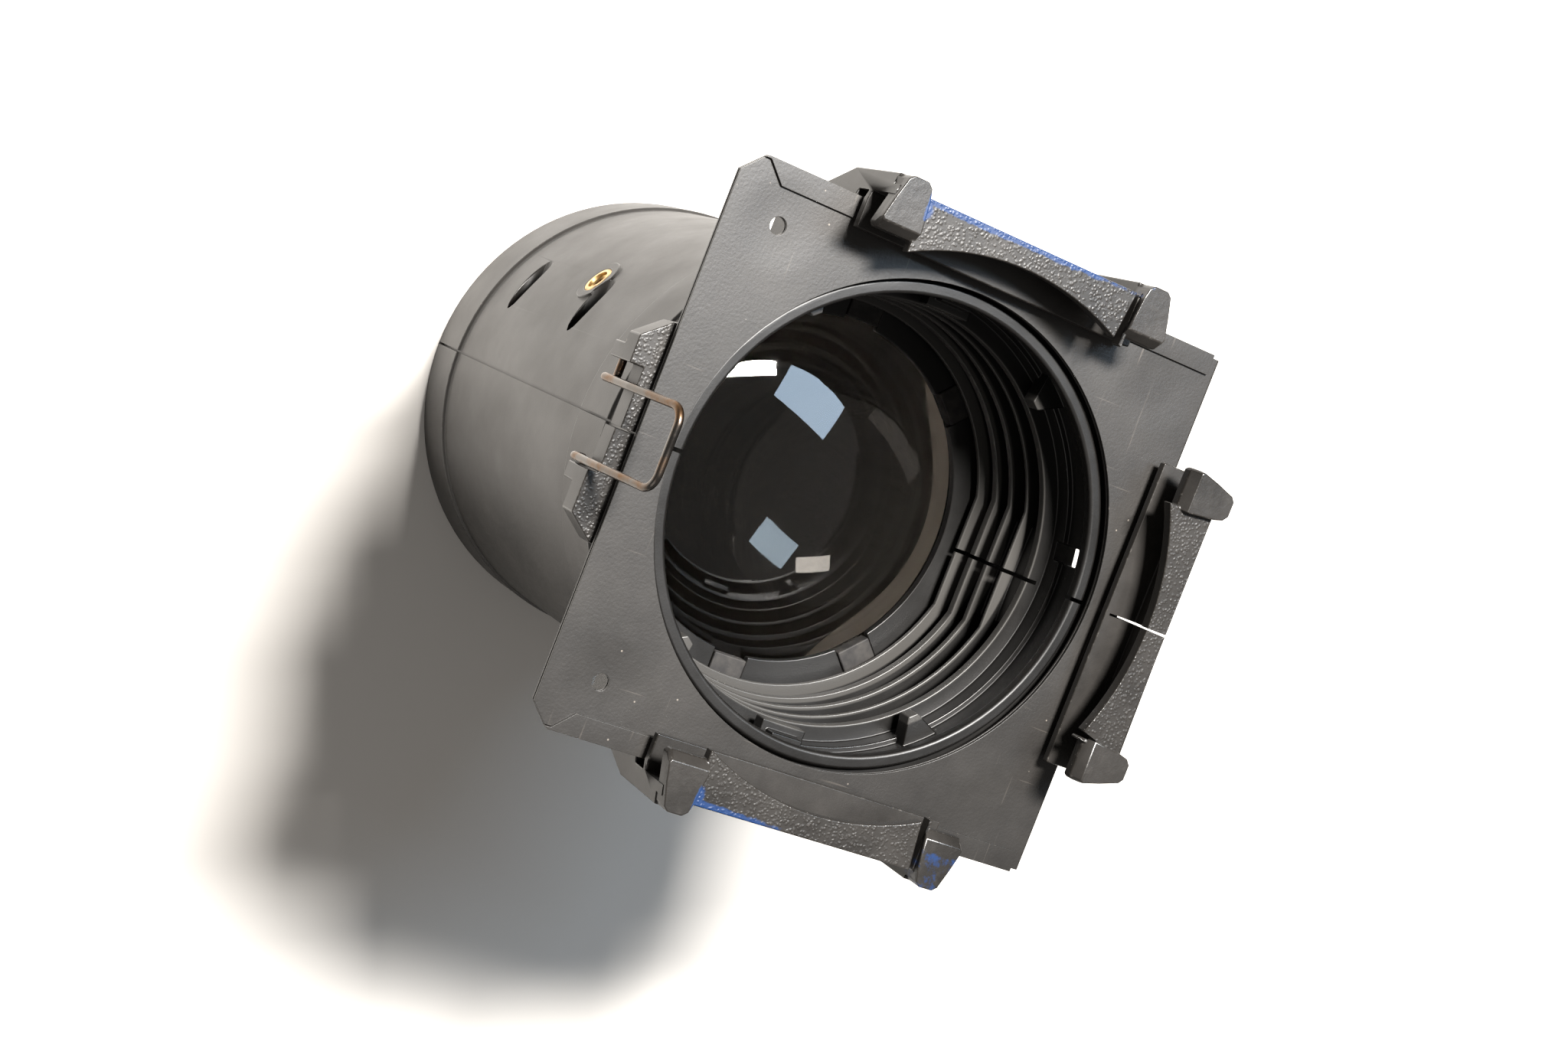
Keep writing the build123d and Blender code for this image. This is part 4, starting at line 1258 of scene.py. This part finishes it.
SCREW_MERGE = 0.003 * MM


def turned(name, outline, steps, paint, crease=30):
    """A closed turned mesh from an outline of (radius, height), from its top to its bottom."""
    mesh = bpy.data.meshes.new(name)
    points = [(radius, 0, height) for radius, height in outline]
    mesh.from_pydata(points, [(i, i + 1) for i in range(len(points) - 1)], [])
    piece = bpy.data.objects.new(name, mesh)
    bpy.context.scene.collection.objects.link(piece)
    screw = piece.modifiers.new("turned", "SCREW")
    screw.steps = screw.render_steps = steps
    screw.use_merge_vertices = True
    screw.merge_threshold = SCREW_MERGE
    screw.use_smooth_shade = True
    apply_stack(piece)
    tidy = bmesh.new()
    tidy.from_mesh(piece.data)
    bmesh.ops.remove_doubles(tidy, verts=tidy.verts, dist=SCREW_MERGE)
    bmesh.ops.recalc_face_normals(tidy, faces=tidy.faces)
    tidy.to_mesh(piece.data)
    tidy.free()
    piece.data.set_sharp_from_angle(angle=math.radians(crease))
    piece.data.materials.append(paint)
    return piece


lens = turned("lens_turned", profile, 128, lens_glass)
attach(lens, "tube")
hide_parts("lens")
print("lens faces:", len(lens.data.polygons))
print("lens thickness in mm:", round((LENS_HIGH.z - LENS_LOW.z) / MM, 1))

# %% [markdown]
# ## Screws
#
# Four pan-head screws, two to a seam, pull the halves together. Each is turned from an outline,
# with its thread cut as a row of grooves, which looks the same as a helix down in a hole. A
# Boolean cuts the cross recess in its head.

# %% Seam screws
SCREW_R, HEAD_R, HEAD_H, SHANK = 1.97 * MM, 3.5 * MM, 2.6 * MM, 24.5 * MM
PITCH, RIDGES, FIRST_RIDGE = 0.7 * MM, 19, -10.4 * MM
THREAD_DEPTH, THREAD_FLANK = 0.35 * MM, 0.3 * MM
screw_outline = [(0, HEAD_H), (1.6 * MM, HEAD_H - 0.08 * MM), (2.7 * MM, HEAD_H - 0.45 * MM)]
screw_outline += [(3.3 * MM, HEAD_H - 1.1 * MM), (HEAD_R, HEAD_H - 1.9 * MM), (HEAD_R, 0.12 * MM)]
screw_outline += [(HEAD_R - 0.12 * MM, 0), (SCREW_R, 0), (SCREW_R, -10 * MM)]
for ridge in range(RIDGES):
    thread_z = FIRST_RIDGE - ridge * PITCH
    screw_outline.append((SCREW_R - THREAD_DEPTH, thread_z))
    screw_outline.append((SCREW_R, thread_z - THREAD_FLANK))
screw_outline += [(SCREW_R - 0.5 * MM, -SHANK), (0, -SHANK)]

cutter_mesh = bpy.data.meshes.new("cross_cutter")
cutter_shape = bmesh.new()
RECESS_LONG, RECESS_WIDE, RECESS_TAPER = 4.0, 0.8, 0.55
for long_x, long_y in ((RECESS_LONG, RECESS_WIDE), (RECESS_WIDE, RECESS_LONG)):
    cage = bmesh.ops.create_cube(cutter_shape, size=1)["verts"]
    for corner in cage:
        taper = 1.0 if corner.co.z > 0 else RECESS_TAPER
        corner.co.x *= long_x * taper * MM
        corner.co.y *= long_y * taper * MM
        corner.co.z = HEAD_H + (0.5 * MM if corner.co.z > 0 else -1.4 * MM)
cutter_shape.to_mesh(cutter_mesh)
cutter_shape.free()
cutter = bpy.data.objects.new("cross_cutter", cutter_mesh)
bpy.context.scene.collection.objects.link(cutter)

seam_screw = turned("seam_screw", screw_outline, 32, screw_steel, crease=50)
recess = seam_screw.modifiers.new("cross recess", "BOOLEAN")
recess.operation = "DIFFERENCE"
recess.solver = "EXACT"
recess.use_self = True
recess.object = cutter
apply_stack(seam_screw)
bpy.data.objects.remove(cutter)

SEAT_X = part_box("seam_screws_top")[1].x - HEAD_H
SCREW_HEIGHTS = (45 * MM, 105 * MM)
for name in ("seam_screws_top", "seam_screws_bottom"):
    low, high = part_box(name)
    middle_y = (low.y + high.y) / 2
    together = bmesh.new()
    for number, height in enumerate(SCREW_HEIGHTS):
        placed = seam_screw.data.copy()
        spin = Matrix.Rotation(0.4 + 1.1 * number, 4, "Z")
        lie_down = Matrix.Rotation(math.pi / 2, 4, "Y")
        placed.transform(Matrix.Translation((SEAT_X, middle_y, height)) @ lie_down @ spin)
        together.from_mesh(placed)
    screws_mesh = bpy.data.meshes.new(name + "_turned")
    together.to_mesh(screws_mesh)
    together.free()
    screws_mesh.materials.append(screw_steel)
    screws = bpy.data.objects.new(name + "_turned", screws_mesh)
    bpy.context.scene.collection.objects.link(screws)
    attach(screws, "tube")
    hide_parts(name)
    print(name, "faces:", len(screws_mesh.polygons))
bpy.data.objects.remove(seam_screw)

# %% [markdown]
# ## The focus knob's insert
#
# A brass bush is pressed into a boss on the right half. The focus knob's thread runs in it, and
# grooves round its outside keep it in the casting. It is turned like the screws.

# %% Focus knob's insert
BUSH_R, BUSH_HOLE, BUSH_LONG = 5.0 * MM, 3.0 * MM, 10.0 * MM
BUSH_FROM_AXIS, BUSH_TURN = 73.6 * MM, math.radians(60)
bush_outline = [(BUSH_HOLE + 0.5 * MM, 0), (BUSH_R - 0.3 * MM, 0), (BUSH_R, -0.3 * MM)]
for groove in range(4):
    groove_z = -(1.4 + 2.2 * groove) * MM
    bush_outline += [(BUSH_R, groove_z), (BUSH_R - 0.4 * MM, groove_z - 0.3 * MM)]
    bush_outline += [(BUSH_R - 0.4 * MM, groove_z - 0.7 * MM), (BUSH_R, groove_z - 1.0 * MM)]
bush_outline += [(BUSH_R, 0.3 * MM - BUSH_LONG), (BUSH_R - 0.3 * MM, -BUSH_LONG)]
bush_outline += [(BUSH_HOLE + 0.5 * MM, -BUSH_LONG)]
for ridge in range(9):
    thread_z = ridge * 1.0 * MM + 0.8 * MM - BUSH_LONG
    bush_outline += [(BUSH_HOLE, thread_z - 0.3 * MM), (BUSH_HOLE + 0.45 * MM, thread_z + 0.2 * MM)]
bush_outline.append((BUSH_HOLE + 0.5 * MM, 0))
bush = turned("focus_insert_turned", bush_outline, 48, insert_brass)
low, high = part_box("focus_insert")
outwards = Vector((math.cos(BUSH_TURN), math.sin(BUSH_TURN), 0))
bush_face = outwards * BUSH_FROM_AXIS + Vector((0, 0, (low.z + high.z) / 2))
stand_out = outwards.to_track_quat("Z", "Y").to_matrix().to_4x4()
bush.data.transform(Matrix.Translation(bush_face) @ stand_out)
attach(bush, "tube")
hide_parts("focus_insert")
print("insert faces:", len(bush.data.polygons))
